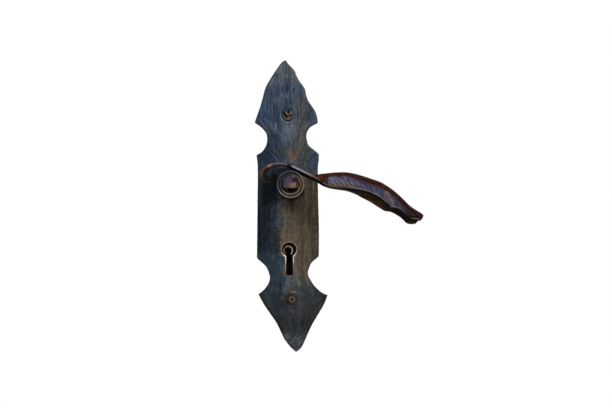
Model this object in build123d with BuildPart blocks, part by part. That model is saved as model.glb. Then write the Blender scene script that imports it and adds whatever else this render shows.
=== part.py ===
"""Forged lever handle on a hand-cut long plate, with the narrow mortice lock behind it."""

from build123d import *
from math import cos, radians, sin, sqrt
import os

# Millimetres. X runs to the hinge side, Z up, and Y into the door.
# The origin is the spindle's axis at the door's outer face, so the plate lies in front of it, at negative Y.

# Fits between pieces
press_gap = 0.02
running_gap = 0.1
loose_gap = 0.15
free_gap = 0.3

# Spindle and lever boss
spindle_side = 8.0
spindle_edge = 0.5
spindle_inner_reach = 52.0
boss_radius = 11.9
boss_length = 31.0
boss_rim = 1.5
boss_recess_depth = 1.8
boss_edge = 0.4
neck_radius = 9.0
cross_pin_radius = 1.5
cross_pin_setback = 7.0

# Cap in the boss's front
washer_radius = 9.0
washer_bore = 3.0
washer_thickness = 1.2
cap_radius = 8.2
cap_base = 1.1
cap_rise = 4.2
cap_top_radius = 3.0
cap_top_shift = (1.4, -1.4)
cap_stud_radius = 2.5
cap_stud_length = 7.0
cap_sides = 7

# Bar with its open scroll
arm_thickness = 3.2
arm_root_thickness = 4.4
arm_width = 13.0
arm_setback = 1.0
arm_slope = 26.0
arm_outer_run = 26.5
arm_inner_run = 5.0
scroll_arcs = [(26.0, 36.0), (11.0, 65.0), (4.3, 120.0), (4.5, 95.0)]
scroll_end_run = 2.0

# Leaf-shaped grip: distance along X from the root, then heights of the top edge, midrib and bottom edge,
# then how far these three stand out from the arm's own middle, then the blade's thickness
grip_root = 25.8
grip_stations = [
    (0.0, 9.0, 2.4, -0.8, 5.5, 6.4, 5.5, 12.0),
    (7.0, 9.7, 0.2, -3.2, 6.5, 8.8, 6.0, 7.5),
    (16.0, 10.2, -2.4, -5.1, 7.5, 12.0, 7.5, 4.6),
    (34.0, 7.6, -4.6, -10.6, 10.5, 15.5, 8.5, 3.8),
    (51.0, 1.2, -11.0, -20.3, 11.5, 16.5, 8.0, 3.6),
    (60.0, -4.8, -15.6, -24.0, 11.0, 16.0, 8.5, 3.6),
    (67.0, -10.0, -20.0, -27.8, 10.5, 15.0, 8.5, 3.6),
    (75.0, -17.5, -23.4, -33.3, 9.5, 13.5, 8.0, 3.4),
    (81.0, -22.4, -27.0, -33.0, 8.5, 11.5, 7.5, 3.2),
    (86.5, -25.6, -27.4, -29.8, 7.0, 8.5, 6.0, 3.0),
]

# Backplate: the outline is hand cut, so no side repeats another
plate_thickness = 3.0
plate_bevel = 0.7
top_tip = (-4.7, 109.4)
upper_left_horn = (-31.6, 54.5)
upper_left_corner = (-30.0, 26.0)
lower_left_corner = (-29.7, -63.2)
lower_left_horn = (-28.4, -95.8)
bottom_tip = (4.6, -146.4)
lower_right_horn = (32.2, -96.6)
lower_right_corner = (24.4, -62.8)
upper_right_corner = (24.6, 26.7)
upper_right_horn = (23.6, 54.3)
upper_left_side = [(-18.2, 92.4), (-24.5, 76.6)]
upper_left_notch = [(-23.2, 47.7), (-20.7, 40.0), (-22.6, 31.9)]
left_edge_middle = (-29.1, 0.0)
lower_left_notch = [(-22.5, -70.7), (-18.3, -81.2), (-21.0, -89.1)]
lower_left_side = [(-18.0, -112.8), (-8.8, -128.6), (-0.5, -141.7)]
lower_right_side = [(9.7, -141.7), (19.6, -120.7)]
lower_right_notch = [(21.3, -89.1), (15.1, -78.6), (16.6, -70.7)]
right_edge_middle = (23.7, 13.5)
upper_right_notch = [(15.7, 34.6), (13.7, 42.4), (16.8, 50.3)]
upper_right_side = [(22.6, 60.9), (18.6, 68.8), (13.8, 76.6), (12.1, 84.5), (8.3, 89.8), (5.2, 95.1)]

# Keyhole in the plate
plate_keyhole = (-1.6, -57.0)
plate_keyhole_radius = 6.1
plate_slot_middle = -1.1
plate_slot_width = 6.1
plate_slot_bottom = -79.2

# Screws that hold the plate
upper_screw_place = (-2.5, 61.1)
lower_screw_place = (0.3, -99.6)
plate_screw_radius = 2.2
plate_screw_length = 17.0
plate_screw_core = 1.8
screw_point = 4.0
screw_tip_radius = 0.35
upper_head_radius = 4.6
upper_head_rise = 1.5
upper_dimple_radius = 6.3
upper_dimple_depth = 0.6
lower_head_radius = 4.5
lower_head_rise = 1.7
head_shoulder_share = 0.35
head_bend_share = 0.75
head_bend_radius_share = 0.82
head_top_radius_share = 0.45
recess_width = 1.2
recess_depth = 1.5
recess_turn = 45.0
upper_recess_reach = 5.6
lower_recess_reach = 2.6

# Bush and ring that carry the boss in the plate
bush_flange_inset = 0.3
bush_flange_thickness = 1.8
bush_wall = 1.4
bush_reach = 2.0
ring_thickness = 1.0
ring_groove_depth = 0.8
ring_outer_radius = 10.1
ring_mouth = 6.0

# Mortice lock: case, cover and forend
forend_face = -18.0
forend_thickness = 3.0
forend_width = 22.0
forend_top = 48.0
forend_bottom = -112.0
forend_corner = 2.0
case_setback = 14.0
case_depth = 16.0
case_top = 30.0
case_bottom = -85.0
case_wall = 1.2
case_corner = 1.5

# Screws and rivets of the lock
forend_screw_heights = [42.0, -106.0]
forend_screw_radius = 2.0
forend_screw_head = 4.0
forend_screw_core = 1.7
forend_screw_length = 26.0
forend_rivet_heights = [26.0, 2.0, -76.0]
rivet_radius = 1.5
rivet_head_radius = 2.3
rivet_head_height = 0.6
rivet_sink = 1.0
forend_screw_land = 1.0
pillar_radius = 2.5
pillar_wall_gap = 0.7
middle_pillar_height = -26.0
cover_screw_radius = 1.25
cover_screw_head_radius = 2.5
cover_screw_head_height = 1.4
cover_screw_length = 7.0
driver_slot_width = 0.7
driver_slot_depth = 0.7
driver_slot_turn = 30.0

# Follower
follower_radius = 8.5
follower_journal_radius = 7.6
follower_arm_width = 3.0
follower_tip_radius = 2.6
follower_arm_near = 18.4
follower_arm_far = 24.0
lower_arm_radius = 15.0
lever_angle = 35.0
stop_radius = 1.5
stop_arm_radius = 10.5

# Latch bolt: it stands out of the forend by its throw, less the amount that it sinks when drawn
latch_travel = 10.5
latch_sink = 0.5
latch_low = 10.0
latch_high = 22.0
latch_near = 17.0
latch_far = 27.0
latch_bevel = 8.5
latch_shoulder = 0.8
latch_shoulder_length = 1.7
latch_tail_height = 8.0
latch_tail_thickness = 2.5
latch_lug_thickness = 2.6
latch_lug_near = 17.4

# Dead bolt, shown drawn back and flush with the forend
bolt_throw = 10.0
bolt_sink = 0.2
bolt_low = -51.0
bolt_high = -34.0
bolt_near = 18.0
bolt_far = 26.0
bolt_head_length = 15.8
bolt_tail_near = 20.0
bolt_tail_far = 24.0
bolt_pin_radius = 1.5
bolt_pin_place = (-4.0, -42.5)
talon_depth = 4.5
notch_place = -1.0
notch_half_width = 1.9
notch_depth = 1.9

# Key way into the lock, from the outside only
key_axis = (-2.5, -58.0)
key_bit_radius = 11.0
key_slot_width = 4.6
key_slot_reach = 11.4
key_bush_bore = 3.2
key_bush_wall = 1.05
key_bush_length = 3.6
key_bush_stand = 1.0
key_tip_length = 2.6
ward_radius = 7.0
ward_wall = 0.8
ward_height = 2.0

# Flat springs
spring_strip = 0.5
spring_near = 18.0
spring_far = 24.0
latch_spring_leg = 11.0
latch_spring_turn = 180.0
follower_spring_leg = 11.0
follower_spring_turn = 150.0
detent_strip = 0.6
detent_near = 18.6
detent_far = 25.4
detent_leg = 9.0
detent_tail = 4.8
detent_bend = 1.8
detent_rivet_radius = 1.0
detent_rivet_head = 1.8

# Places that follow from the sizes
plate_front = -plate_thickness
bush_front = plate_front - bush_flange_thickness
boss_back = bush_front - free_gap
boss_front = boss_back - boss_length
recess_floor = boss_front + boss_recess_depth
bush_radius = neck_radius + running_gap / 2 + bush_wall
neck_end = bush_reach + free_gap + ring_thickness + free_gap
spindle_front = recess_floor + cap_stud_length + free_gap
arm_near = boss_front + arm_setback
arm_far = arm_near + arm_width
arm_middle = (arm_near + arm_far) / 2
washer_front = recess_floor - washer_thickness
case_left = forend_face + forend_thickness
case_back = case_setback + case_depth
inside_left = case_left + case_wall
inside_top = case_top - case_wall
inside_bottom = case_bottom + case_wall
inside_near = case_setback + case_wall
inside_far = case_back - case_wall
case_middle = (case_setback + case_back) / 2
half_swing = lever_angle / 2
upper_arm_radius = latch_travel / (2 * sin(radians(half_swing)))
lug_face = -upper_arm_radius * sin(radians(half_swing)) + follower_tip_radius + loose_gap
lug_low = upper_arm_radius * cos(radians(half_swing)) - follower_tip_radius - free_gap
lug_end = lug_face + latch_lug_thickness
inside_right = lug_end + latch_travel + 2 * spring_strip + 2 * running_gap
case_right = inside_right + case_wall
case_width = case_right - case_left
left_pillar = inside_left + pillar_wall_gap + pillar_radius
right_pillar = inside_right - pillar_wall_gap - pillar_radius
top_pillar = inside_top - pillar_wall_gap - pillar_radius
bottom_pillar = inside_bottom + pillar_wall_gap + pillar_radius
pillar_places = [(right_pillar, top_pillar), (left_pillar, top_pillar), (left_pillar, middle_pillar_height),
                 (right_pillar, bottom_pillar), (left_pillar, bottom_pillar)]
bolt_slot_width = 2 * (bolt_pin_radius + running_gap)


def at_depth(y):
    """Plane across the door at this depth, seen from the front: its own x is X and its own y is Z."""
    return Plane.XZ.offset(-y)


def rod(radius, near, far, place=(0, 0), mode=Mode.ADD):
    """Round bar through the door between two depths."""
    with BuildSketch(at_depth(far)) as disc:
        with Locations(place):
            Circle(radius)
    extrude(disc.sketch, amount=far - near, mode=mode)


def slab(low, high, near, far, mode=Mode.ADD):
    """Block between two corners, each an X and a Z, and two depths."""
    with BuildSketch(at_depth(far)) as outline:
        with Locations(low):
            Rectangle(high[0] - low[0], high[1] - low[1], align=(Align.MIN, Align.MIN))
    extrude(outline.sketch, amount=far - near, mode=mode)


def turned(profile, place=(0, 0), mode=Mode.ADD):
    """Solid of revolution about an axis through the door; the profile gives a radius and a depth."""
    middle = (place[0], 0, place[1])
    with BuildSketch(Plane(origin=middle, x_dir=(1, 0, 0), z_dir=(0, 0, 1))) as half:
        with BuildLine():
            Polyline(*profile, close=True)
        make_face()
    revolve(half.sketch, axis=Axis(middle, (0, 1, 0)), mode=mode)


def turned_across(profile, depth, height, mode=Mode.ADD):
    """Solid of revolution about an axis along X; the profile gives an X and a radius."""
    middle = (0, depth, height)
    with BuildSketch(Plane(origin=middle, x_dir=(1, 0, 0), z_dir=(0, -1, 0))) as half:
        with BuildLine():
            Polyline(*profile, close=True)
        make_face()
    revolve(half.sketch, axis=Axis(middle, (1, 0, 0)), mode=mode)


def key_way(place, radius, slot_middle, slot_width, slot_bottom, near, far):
    """Cut a keyhole: a round hole with a slot below it."""
    rod(radius, near, far, place, Mode.SUBTRACT)
    low = (slot_middle - slot_width / 2, slot_bottom)
    high = (slot_middle + slot_width / 2, place[1])
    slab(low, high, near, far, Mode.SUBTRACT)


def finish(builder, name):
    """Label a piece and write it."""
    builder.part.label = name
    export_step(builder.part, f"parts/{name}.step")


os.makedirs("parts", exist_ok=True)

# Backplate
with BuildPart() as backplate:
    with BuildSketch(at_depth(0)):
        with BuildLine():
            Spline(top_tip, *upper_left_side, upper_left_horn)
            Spline(upper_left_horn, *upper_left_notch, upper_left_corner)
            Polyline(upper_left_corner, left_edge_middle, lower_left_corner)
            Spline(lower_left_corner, *lower_left_notch, lower_left_horn)
            Spline(lower_left_horn, *lower_left_side, bottom_tip)
            Spline(bottom_tip, *lower_right_side, lower_right_horn)
            Spline(lower_right_horn, *lower_right_notch, lower_right_corner)
            Polyline(lower_right_corner, right_edge_middle, upper_right_corner)
            Spline(upper_right_corner, *upper_right_notch, upper_right_horn)
            Spline(upper_right_horn, *upper_right_side, top_tip)
        make_face()
    extrude(amount=plate_thickness)
    front_rim = backplate.faces().sort_by(Axis.Y)[0].outer_wire().edges()
    chamfer(front_rim, plate_bevel)
    rod(bush_radius + press_gap, plate_front, 0, mode=Mode.SUBTRACT)
    key_way(plate_keyhole, plate_keyhole_radius, plate_slot_middle, plate_slot_width,
            plate_slot_bottom, plate_front, 0)
    for place in (upper_screw_place, lower_screw_place):
        rod(plate_screw_radius + running_gap, plate_front, 0, place, Mode.SUBTRACT)
    turned([(0, plate_front), (upper_dimple_radius, plate_front),
            (upper_head_radius + running_gap, plate_front + upper_dimple_depth),
            (0, plate_front + upper_dimple_depth)], upper_screw_place, Mode.SUBTRACT)
finish(backplate, "backplate")


def plate_screw(name, place, seat, head_radius, head_rise, recess_reach):
    """Wood screw with a domed head and a cross recess; its head lies on the plate at the seat."""
    tip = plate_screw_length
    with BuildPart() as screw:
        turned([(0, seat), (plate_screw_radius, seat), (plate_screw_radius, free_gap),
                (plate_screw_core, free_gap), (plate_screw_core, tip - screw_point),
                (screw_tip_radius, tip), (0, tip)], place)
        turned([(0, seat), (head_radius, seat), (head_radius, seat - head_rise * head_shoulder_share),
                (head_radius * head_bend_radius_share, seat - head_rise * head_bend_share),
                (head_radius * head_top_radius_share, seat - head_rise), (0, seat - head_rise)], place)
        with BuildSketch(at_depth(seat - head_rise + recess_depth)):
            with Locations(place):
                Rectangle(recess_reach, recess_width, rotation=recess_turn)
                Rectangle(recess_reach, recess_width, rotation=recess_turn + 90)
        extrude(amount=recess_depth, mode=Mode.SUBTRACT)
    finish(screw, name)


# Screws of the plate
plate_screw("upper_screw", upper_screw_place, plate_front + upper_dimple_depth, upper_head_radius,
            upper_head_rise + upper_dimple_depth, upper_recess_reach)
plate_screw("lower_screw", lower_screw_place, plate_front, lower_head_radius, lower_head_rise,
            lower_recess_reach)

# Flanged bush in the plate
with BuildPart() as plate_bush:
    bore = neck_radius + running_gap / 2
    flange_radius = boss_radius - bush_flange_inset
    turned([(bore, bush_front), (flange_radius, bush_front), (flange_radius, plate_front),
            (bush_radius, plate_front), (bush_radius, bush_reach), (bore, bush_reach)])
finish(plate_bush, "plate_bush")

# Boss: a rim and a recess at the front, a neck in the bush, and a square hole for the spindle
with BuildPart() as lever_boss:
    groove_start = bush_reach + free_gap
    groove_end = groove_start + ring_thickness
    groove_radius = neck_radius - ring_groove_depth
    turned([(0, recess_floor), (boss_radius - boss_rim, recess_floor),
            (boss_radius - boss_rim, boss_front + boss_edge),
            (boss_radius - boss_rim + boss_edge, boss_front),
            (boss_radius - boss_edge, boss_front), (boss_radius, boss_front + boss_edge),
            (boss_radius, boss_back), (neck_radius, boss_back), (neck_radius, groove_start),
            (groove_radius, groove_start), (groove_radius, groove_end), (neck_radius, groove_end),
            (neck_radius, neck_end), (0, neck_end)])
    rod(cap_stud_radius + press_gap, recess_floor, spindle_front, mode=Mode.SUBTRACT)
    with BuildSketch(at_depth(neck_end)):
        Rectangle(spindle_side + running_gap, spindle_side + running_gap)
    extrude(amount=neck_end - spindle_front, mode=Mode.SUBTRACT)
    pin_depth = boss_back - cross_pin_setback
    with BuildSketch(Plane.XY.offset(-boss_radius)):
        with Locations((0, pin_depth)):
            Circle(cross_pin_radius + press_gap)
    extrude(amount=2 * boss_radius, mode=Mode.SUBTRACT)
finish(lever_boss, "lever_boss")

# Spindle
with BuildPart() as spindle:
    with BuildSketch(at_depth(spindle_inner_reach)):
        Rectangle(spindle_side, spindle_side)
        chamfer(vertices(), spindle_edge)
    extrude(amount=spindle_inner_reach - spindle_front)
    with BuildSketch(Plane.XY.offset(-spindle_side)):
        with Locations((0, pin_depth)):
            Circle(cross_pin_radius + press_gap)
    extrude(amount=2 * spindle_side, mode=Mode.SUBTRACT)
finish(spindle, "spindle")

# Cross pin through boss and spindle
with BuildPart() as spindle_pin:
    pin_half_length = boss_radius - loose_gap
    with BuildSketch(Plane.XY.offset(-pin_half_length)):
        with Locations((0, pin_depth)):
            Circle(cross_pin_radius)
    extrude(amount=2 * pin_half_length)
finish(spindle_pin, "spindle_pin")

# Open ring in the neck's groove, behind the bush
with BuildPart() as retaining_ring:
    ring_inner_radius = groove_radius + press_gap
    ring_near = groove_start + press_gap
    ring_far = groove_end - press_gap
    turned([(ring_inner_radius, ring_near), (ring_outer_radius, ring_near),
            (ring_outer_radius, ring_far), (ring_inner_radius, ring_far)])
    slab((-ring_mouth / 2, -ring_outer_radius), (ring_mouth / 2, 0), groove_start, groove_end, Mode.SUBTRACT)
finish(retaining_ring, "retaining_ring")

# Washer under the cap
with BuildPart() as cap_washer:
    turned([(washer_bore, recess_floor), (washer_radius, recess_floor),
            (washer_radius - boss_edge, washer_front), (washer_bore, washer_front)])
finish(cap_washer, "cap_washer")

# Cap: hammered flats round an apex that lies off the middle, on a stud
with BuildPart() as faceted_cap:
    cap_edge = washer_front - cap_base
    with BuildSketch(at_depth(washer_front)):
        RegularPolygon(cap_radius, cap_sides)
    extrude(amount=cap_base)
    with BuildSketch(at_depth(cap_edge)):
        RegularPolygon(cap_radius, cap_sides)
    with BuildSketch(at_depth(cap_edge - cap_rise)):
        with Locations(cap_top_shift):
            RegularPolygon(cap_top_radius, cap_sides)
    loft(ruled=True)
    rod(cap_stud_radius, washer_front, recess_floor + cap_stud_length)
finish(faceted_cap, "faceted_cap")

# Bar across the top of the boss: it grows thicker towards the leaf, and ends in an open scroll
with BuildPart() as lever_arm:
    seat_radius = boss_radius + arm_thickness / 2
    seat_angle = 90 - arm_slope
    seat = Vector(seat_radius * cos(radians(seat_angle)), seat_radius * sin(radians(seat_angle)))
    outwards = Vector(cos(radians(arm_slope)), -sin(radians(arm_slope)))
    across = Vector(sin(radians(arm_slope)), cos(radians(arm_slope)))
    leaf_end = seat + outwards * arm_outer_run
    scroll_start = seat - outwards * arm_inner_run
    with BuildSketch(at_depth(arm_far)):
        with BuildLine():
            run = Line(leaf_end, scroll_start)
            for arc_radius, arc_turn in scroll_arcs:
                run = JernArc(start=run @ 1, tangent=run % 1, radius=arc_radius, arc_size=arc_turn)
            Line(run @ 1, run @ 1 + (run % 1) * scroll_end_run)
        trace(line_width=arm_thickness)
        with BuildLine():
            Polyline(scroll_start + across * arm_thickness / 2, leaf_end + across * arm_root_thickness / 2,
                     leaf_end - across * arm_root_thickness / 2, scroll_start - across * arm_thickness / 2,
                     close=True)
        make_face()
    extrude(amount=arm_width)
    rod(boss_radius, arm_near, arm_far, mode=Mode.SUBTRACT)
    slab((grip_root, -boss_radius), (grip_root + boss_radius, boss_radius), arm_near, arm_far, Mode.SUBTRACT)
finish(lever_arm, "lever_arm")

# Leaf: a folded blade with its midrib towards the front
with BuildPart() as leaf_grip:
    for reach, top, rib, bottom, top_out, rib_out, bottom_out, thickness in grip_stations:
        front = [(arm_middle - top_out, top), (arm_middle - rib_out, rib), (arm_middle - bottom_out, bottom)]
        back = [(y + thickness, z) for y, z in reversed(front)]
        with BuildSketch(Plane.YZ.offset(grip_root + reach)):
            with BuildLine():
                Polyline(*front, *back, close=True)
            make_face()
    loft(ruled=True)
finish(leaf_grip, "leaf_grip")


def cut_bolt_holes(left, right):
    """Holes for latch bolt and dead bolt through a wall or strip that lies across X."""
    with BuildSketch(Plane.YZ.offset(left)) as holes:
        for near, far, low, high in ((latch_near, latch_far, latch_low, latch_high),
                                     (bolt_near, bolt_far, bolt_low, bolt_high)):
            with Locations(((near + far) / 2, (low + high) / 2)):
                Rectangle(far - near + 2 * loose_gap, high - low + 2 * loose_gap)
    extrude(holes.sketch, amount=right - left, mode=Mode.SUBTRACT)


# Tray of the lock
with BuildPart() as lock_case:
    with BuildSketch(at_depth(case_back)):
        with Locations((case_left, case_bottom)):
            Rectangle(case_width, case_top - case_bottom, align=(Align.MIN, Align.MIN))
        fillet(vertices().group_by(Axis.X)[-1], case_corner)
    extrude(amount=case_back - inside_near)
    slab((inside_left, inside_bottom), (inside_right, inside_top), inside_near, inside_far, Mode.SUBTRACT)
    rod(follower_journal_radius + running_gap / 2, inside_far, case_back, mode=Mode.SUBTRACT)
    cut_bolt_holes(case_left, inside_left)
    for height in forend_rivet_heights:
        turned_across([(case_left, 0), (case_left, rivet_radius + press_gap),
                       (inside_left, rivet_radius + press_gap), (inside_left, 0)],
                      case_middle, height, Mode.SUBTRACT)
    turned_across([(inside_right, 0), (inside_right, detent_rivet_radius + press_gap),
                   (case_right, detent_rivet_radius + press_gap), (case_right, 0)],
                  (detent_near + detent_far) / 2, bolt_high + detent_leg, Mode.SUBTRACT)
finish(lock_case, "lock_case")

# Cover of the lock
with BuildPart() as case_cover:
    with BuildSketch(at_depth(inside_near)):
        with Locations((case_left, case_bottom)):
            Rectangle(case_width, case_top - case_bottom, align=(Align.MIN, Align.MIN))
        fillet(vertices().group_by(Axis.X)[-1], case_corner)
    extrude(amount=case_wall)
    rod(follower_journal_radius + running_gap / 2, case_setback, inside_near, mode=Mode.SUBTRACT)
    key_way(key_axis, key_bush_bore + key_bush_wall + press_gap, key_axis[0], key_slot_width,
            key_axis[1] - key_slot_reach, case_setback, inside_near)
    for place in pillar_places:
        rod(cover_screw_radius + running_gap, case_setback, inside_near, place, Mode.SUBTRACT)
finish(case_cover, "case_cover")

# Pillars between tray and cover, threaded for the cover's screws
with BuildPart() as case_pillars:
    for place in pillar_places:
        rod(pillar_radius, inside_near, inside_far, place)
        thread_end = inside_near + cover_screw_length
        rod(cover_screw_radius + press_gap, inside_near, thread_end, place, Mode.SUBTRACT)
finish(case_pillars, "case_pillars")

# Slotted screws of the cover
with BuildPart() as cover_screws:
    for place in pillar_places:
        head_top = case_setback - cover_screw_head_height
        rod(cover_screw_head_radius, head_top, case_setback, place)
        rod(cover_screw_radius, case_setback, thread_end - loose_gap, place)
        with BuildSketch(at_depth(head_top + driver_slot_depth)):
            with Locations(place):
                Rectangle(2 * cover_screw_head_radius, driver_slot_width, rotation=driver_slot_turn)
        extrude(amount=driver_slot_depth, mode=Mode.SUBTRACT)
finish(cover_screws, "cover_screws")

# Forend
with BuildPart() as forend:
    with BuildSketch(Plane.YZ.offset(forend_face)):
        with Locations((case_middle, (forend_top + forend_bottom) / 2)):
            RectangleRounded(forend_width, forend_top - forend_bottom, forend_corner)
    extrude(amount=forend_thickness)
    cut_bolt_holes(forend_face, case_left)
    for height in forend_screw_heights:
        turned_across([(forend_face, 0), (forend_face, forend_screw_head + running_gap),
                       (case_left - forend_screw_land, forend_screw_radius + running_gap),
                       (case_left, forend_screw_radius + running_gap), (case_left, 0)],
                      case_middle, height, Mode.SUBTRACT)
    for height in forend_rivet_heights:
        turned_across([(forend_face, 0), (forend_face, rivet_head_radius + press_gap),
                       (forend_face + rivet_sink, rivet_radius + press_gap),
                       (case_left, rivet_radius + press_gap), (case_left, 0)],
                      case_middle, height, Mode.SUBTRACT)
finish(forend, "forend")

# Screws of the forend, in the door's edge
with BuildPart() as forend_screws:
    for height in forend_screw_heights:
        screw_end = forend_face + forend_screw_length
        neck_start = case_left - forend_screw_land
        thread_start = case_left + free_gap
        turned_across([(forend_face, 0), (forend_face, forend_screw_head),
                       (neck_start, forend_screw_radius), (thread_start, forend_screw_radius),
                       (thread_start, forend_screw_core), (screw_end - screw_point, forend_screw_core),
                       (screw_end, screw_tip_radius), (screw_end, 0)], case_middle, height)
        with BuildSketch(Plane.YZ.offset(forend_face)):
            with Locations((case_middle, height)):
                Rectangle(recess_width, 2 * forend_screw_head, rotation=driver_slot_turn)
        extrude(amount=driver_slot_depth, mode=Mode.SUBTRACT)
finish(forend_screws, "forend_screws")

# Rivets that hold forend and tray together, countersunk in front and closed inside
with BuildPart() as forend_rivets:
    for height in forend_rivet_heights:
        turned_across([(forend_face, 0), (forend_face, rivet_head_radius),
                       (forend_face + rivet_sink, rivet_radius),
                       (inside_left, rivet_radius), (inside_left, rivet_head_radius),
                       (inside_left + rivet_head_height, rivet_head_radius / 2),
                       (inside_left + rivet_head_height, 0)], case_middle, height)
finish(forend_rivets, "forend_rivets")

# Follower: hub with two journals, a square hole and two arms in line
with BuildPart() as follower:
    rod(follower_radius, inside_near + free_gap, inside_far - free_gap)
    rod(follower_journal_radius, case_setback, case_back)
    with BuildSketch(at_depth(follower_arm_far)):
        lean = radians(half_swing)
        upper_tip = (-upper_arm_radius * sin(lean), upper_arm_radius * cos(lean))
        lower_tip = (lower_arm_radius * sin(lean), -lower_arm_radius * cos(lean))
        with BuildLine():
            Line(upper_tip, lower_tip)
        trace(line_width=follower_arm_width)
        with Locations(upper_tip, lower_tip):
            Circle(follower_tip_radius)
    extrude(amount=follower_arm_far - follower_arm_near)
    with BuildSketch(at_depth(case_back)):
        Rectangle(spindle_side + running_gap, spindle_side + running_gap)
    extrude(amount=case_depth, mode=Mode.SUBTRACT)
finish(follower, "follower")

# Pin that the follower's lower arm rests on
with BuildPart() as follower_stop:
    side_step = follower_arm_width / 2 + stop_radius + loose_gap
    stop_place = (stop_arm_radius * sin(lean) + side_step * cos(lean),
                  -stop_arm_radius * cos(lean) + side_step * sin(lean))
    rod(stop_radius, inside_near, inside_far, stop_place)
finish(follower_stop, "follower_stop")

# Hairpin spring on the lower left pillar, pressing the lower arm to the right
bend_radius = pillar_radius + running_gap + spring_strip / 2
with BuildPart() as follower_spring:
    bend_x, bend_z = pillar_places[2]
    arm_contact = (lower_tip[0] - follower_tip_radius - spring_strip, lower_tip[1] - spring_strip)
    with BuildSketch(at_depth(spring_far)):
        with BuildLine():
            leg = Line((bend_x - bend_radius, bend_z + follower_spring_leg), (bend_x - bend_radius, bend_z))
            bend = JernArc(start=leg @ 1, tangent=leg % 1, radius=bend_radius, arc_size=follower_spring_turn)
            Line(bend @ 1, arm_contact)
        trace(line_width=spring_strip)
    extrude(amount=spring_far - spring_near)
finish(follower_spring, "follower_spring")

# Latch bolt: bevelled head with a shoulder inside the case, a tail and a lug for the follower's arm
with BuildPart() as latch_bolt:
    latch_tip = forend_face + latch_sink - latch_travel
    head_end = inside_left + running_gap + latch_shoulder_length
    slab((latch_tip, latch_low), (head_end, latch_high), latch_near, latch_far)
    with BuildSketch(Plane.XY.offset(latch_low)):
        with BuildLine():
            Polyline((latch_tip, latch_near), (latch_tip + latch_bevel, latch_near),
                     (latch_tip, latch_near + latch_bevel), close=True)
        make_face()
    extrude(amount=latch_high - latch_low, mode=Mode.SUBTRACT)
    slab((inside_left + running_gap, latch_low - latch_shoulder), (head_end, latch_high + latch_shoulder),
         latch_near - latch_shoulder, latch_far + latch_shoulder)
    slab((head_end, latch_high - latch_tail_height), (lug_end, latch_high),
         latch_far - latch_tail_thickness, latch_far)
    slab((lug_face, lug_low), (lug_end, latch_high), latch_lug_near, latch_far)
finish(latch_bolt, "latch_bolt")

# Hairpin spring round the upper right pillar, pressing the latch's lug to the left
with BuildPart() as latch_spring:
    bend_x, bend_z = pillar_places[0]
    lug_contact = (lug_end + spring_strip, (latch_low + latch_high) / 2)
    with BuildSketch(at_depth(spring_far)):
        with BuildLine():
            leg = Line((bend_x + bend_radius, bend_z - latch_spring_leg), (bend_x + bend_radius, bend_z))
            bend = JernArc(start=leg @ 1, tangent=leg % 1, radius=bend_radius, arc_size=latch_spring_turn)
            Line(bend @ 1, lug_contact)
        trace(line_width=spring_strip)
    extrude(amount=spring_far - spring_near)
finish(latch_spring, "latch_spring")

# Dead bolt: head, thinner tail, slot for the guide pin, talon for the key and two notches for the detent
with BuildPart() as dead_bolt:
    bolt_tip = forend_face + bolt_sink
    tail_end = inside_right - running_gap - free_gap
    slab((bolt_tip, bolt_low), (bolt_tip + bolt_head_length, bolt_high), bolt_near, bolt_far)
    slab((bolt_tip + bolt_head_length, bolt_low), (tail_end, bolt_high), bolt_tail_near, bolt_tail_far)
    with BuildSketch(at_depth(bolt_far)):
        with Locations((bolt_pin_place[0] + bolt_throw / 2, bolt_pin_place[1])):
            SlotCenterToCenter(bolt_throw, bolt_slot_width)
    extrude(amount=bolt_far - bolt_near, mode=Mode.SUBTRACT)
    half_chord = sqrt(key_bit_radius ** 2 - (bolt_low - key_axis[1]) ** 2)
    talon_half = half_chord - bolt_throw / 2
    talon_middle = key_axis[0] + bolt_throw / 2
    slab((talon_middle - talon_half, bolt_low), (talon_middle + talon_half, bolt_low + talon_depth),
         bolt_near, bolt_far, Mode.SUBTRACT)
    with BuildSketch(at_depth(bolt_far)):
        for notch_x in (notch_place, notch_place + bolt_throw):
            with BuildLine():
                Polyline((notch_x - notch_half_width, bolt_high), (notch_x, bolt_high - notch_depth),
                         (notch_x + notch_half_width, bolt_high), close=True)
            make_face()
    extrude(amount=bolt_far - bolt_near, mode=Mode.SUBTRACT)
finish(dead_bolt, "dead_bolt")

# Pin in the dead bolt's slot
with BuildPart() as bolt_guide_pin:
    rod(bolt_pin_radius, inside_near, inside_far, bolt_pin_place)
finish(bolt_guide_pin, "bolt_guide_pin")

# Leaf spring on the dead bolt: its bump drops into either notch, and its leg is riveted to the case
with BuildPart() as detent_spring:
    flat_height = bolt_high + loose_gap + detent_strip / 2
    bump_low = bolt_high - notch_depth + loose_gap + detent_strip
    bump_half = notch_half_width - detent_strip / 2
    leg_x = inside_right - running_gap - detent_strip / 2
    with BuildSketch(at_depth(detent_far)):
        with BuildLine():
            Polyline((notch_place - detent_tail, flat_height + detent_strip),
                     (notch_place - bump_half, flat_height), (notch_place, bump_low),
                     (notch_place + bump_half, flat_height),
                     (leg_x - detent_strip, flat_height + detent_strip),
                     (leg_x, flat_height + detent_bend),
                     (leg_x, bolt_high + detent_leg + detent_rivet_head))
        trace(line_width=detent_strip)
    extrude(amount=detent_far - detent_near)
    turned_across([(leg_x - detent_strip, 0), (leg_x - detent_strip, detent_rivet_radius + press_gap),
                   (leg_x + detent_strip, detent_rivet_radius + press_gap), (leg_x + detent_strip, 0)],
                  (detent_near + detent_far) / 2, bolt_high + detent_leg, Mode.SUBTRACT)
finish(detent_spring, "detent_spring")

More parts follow.
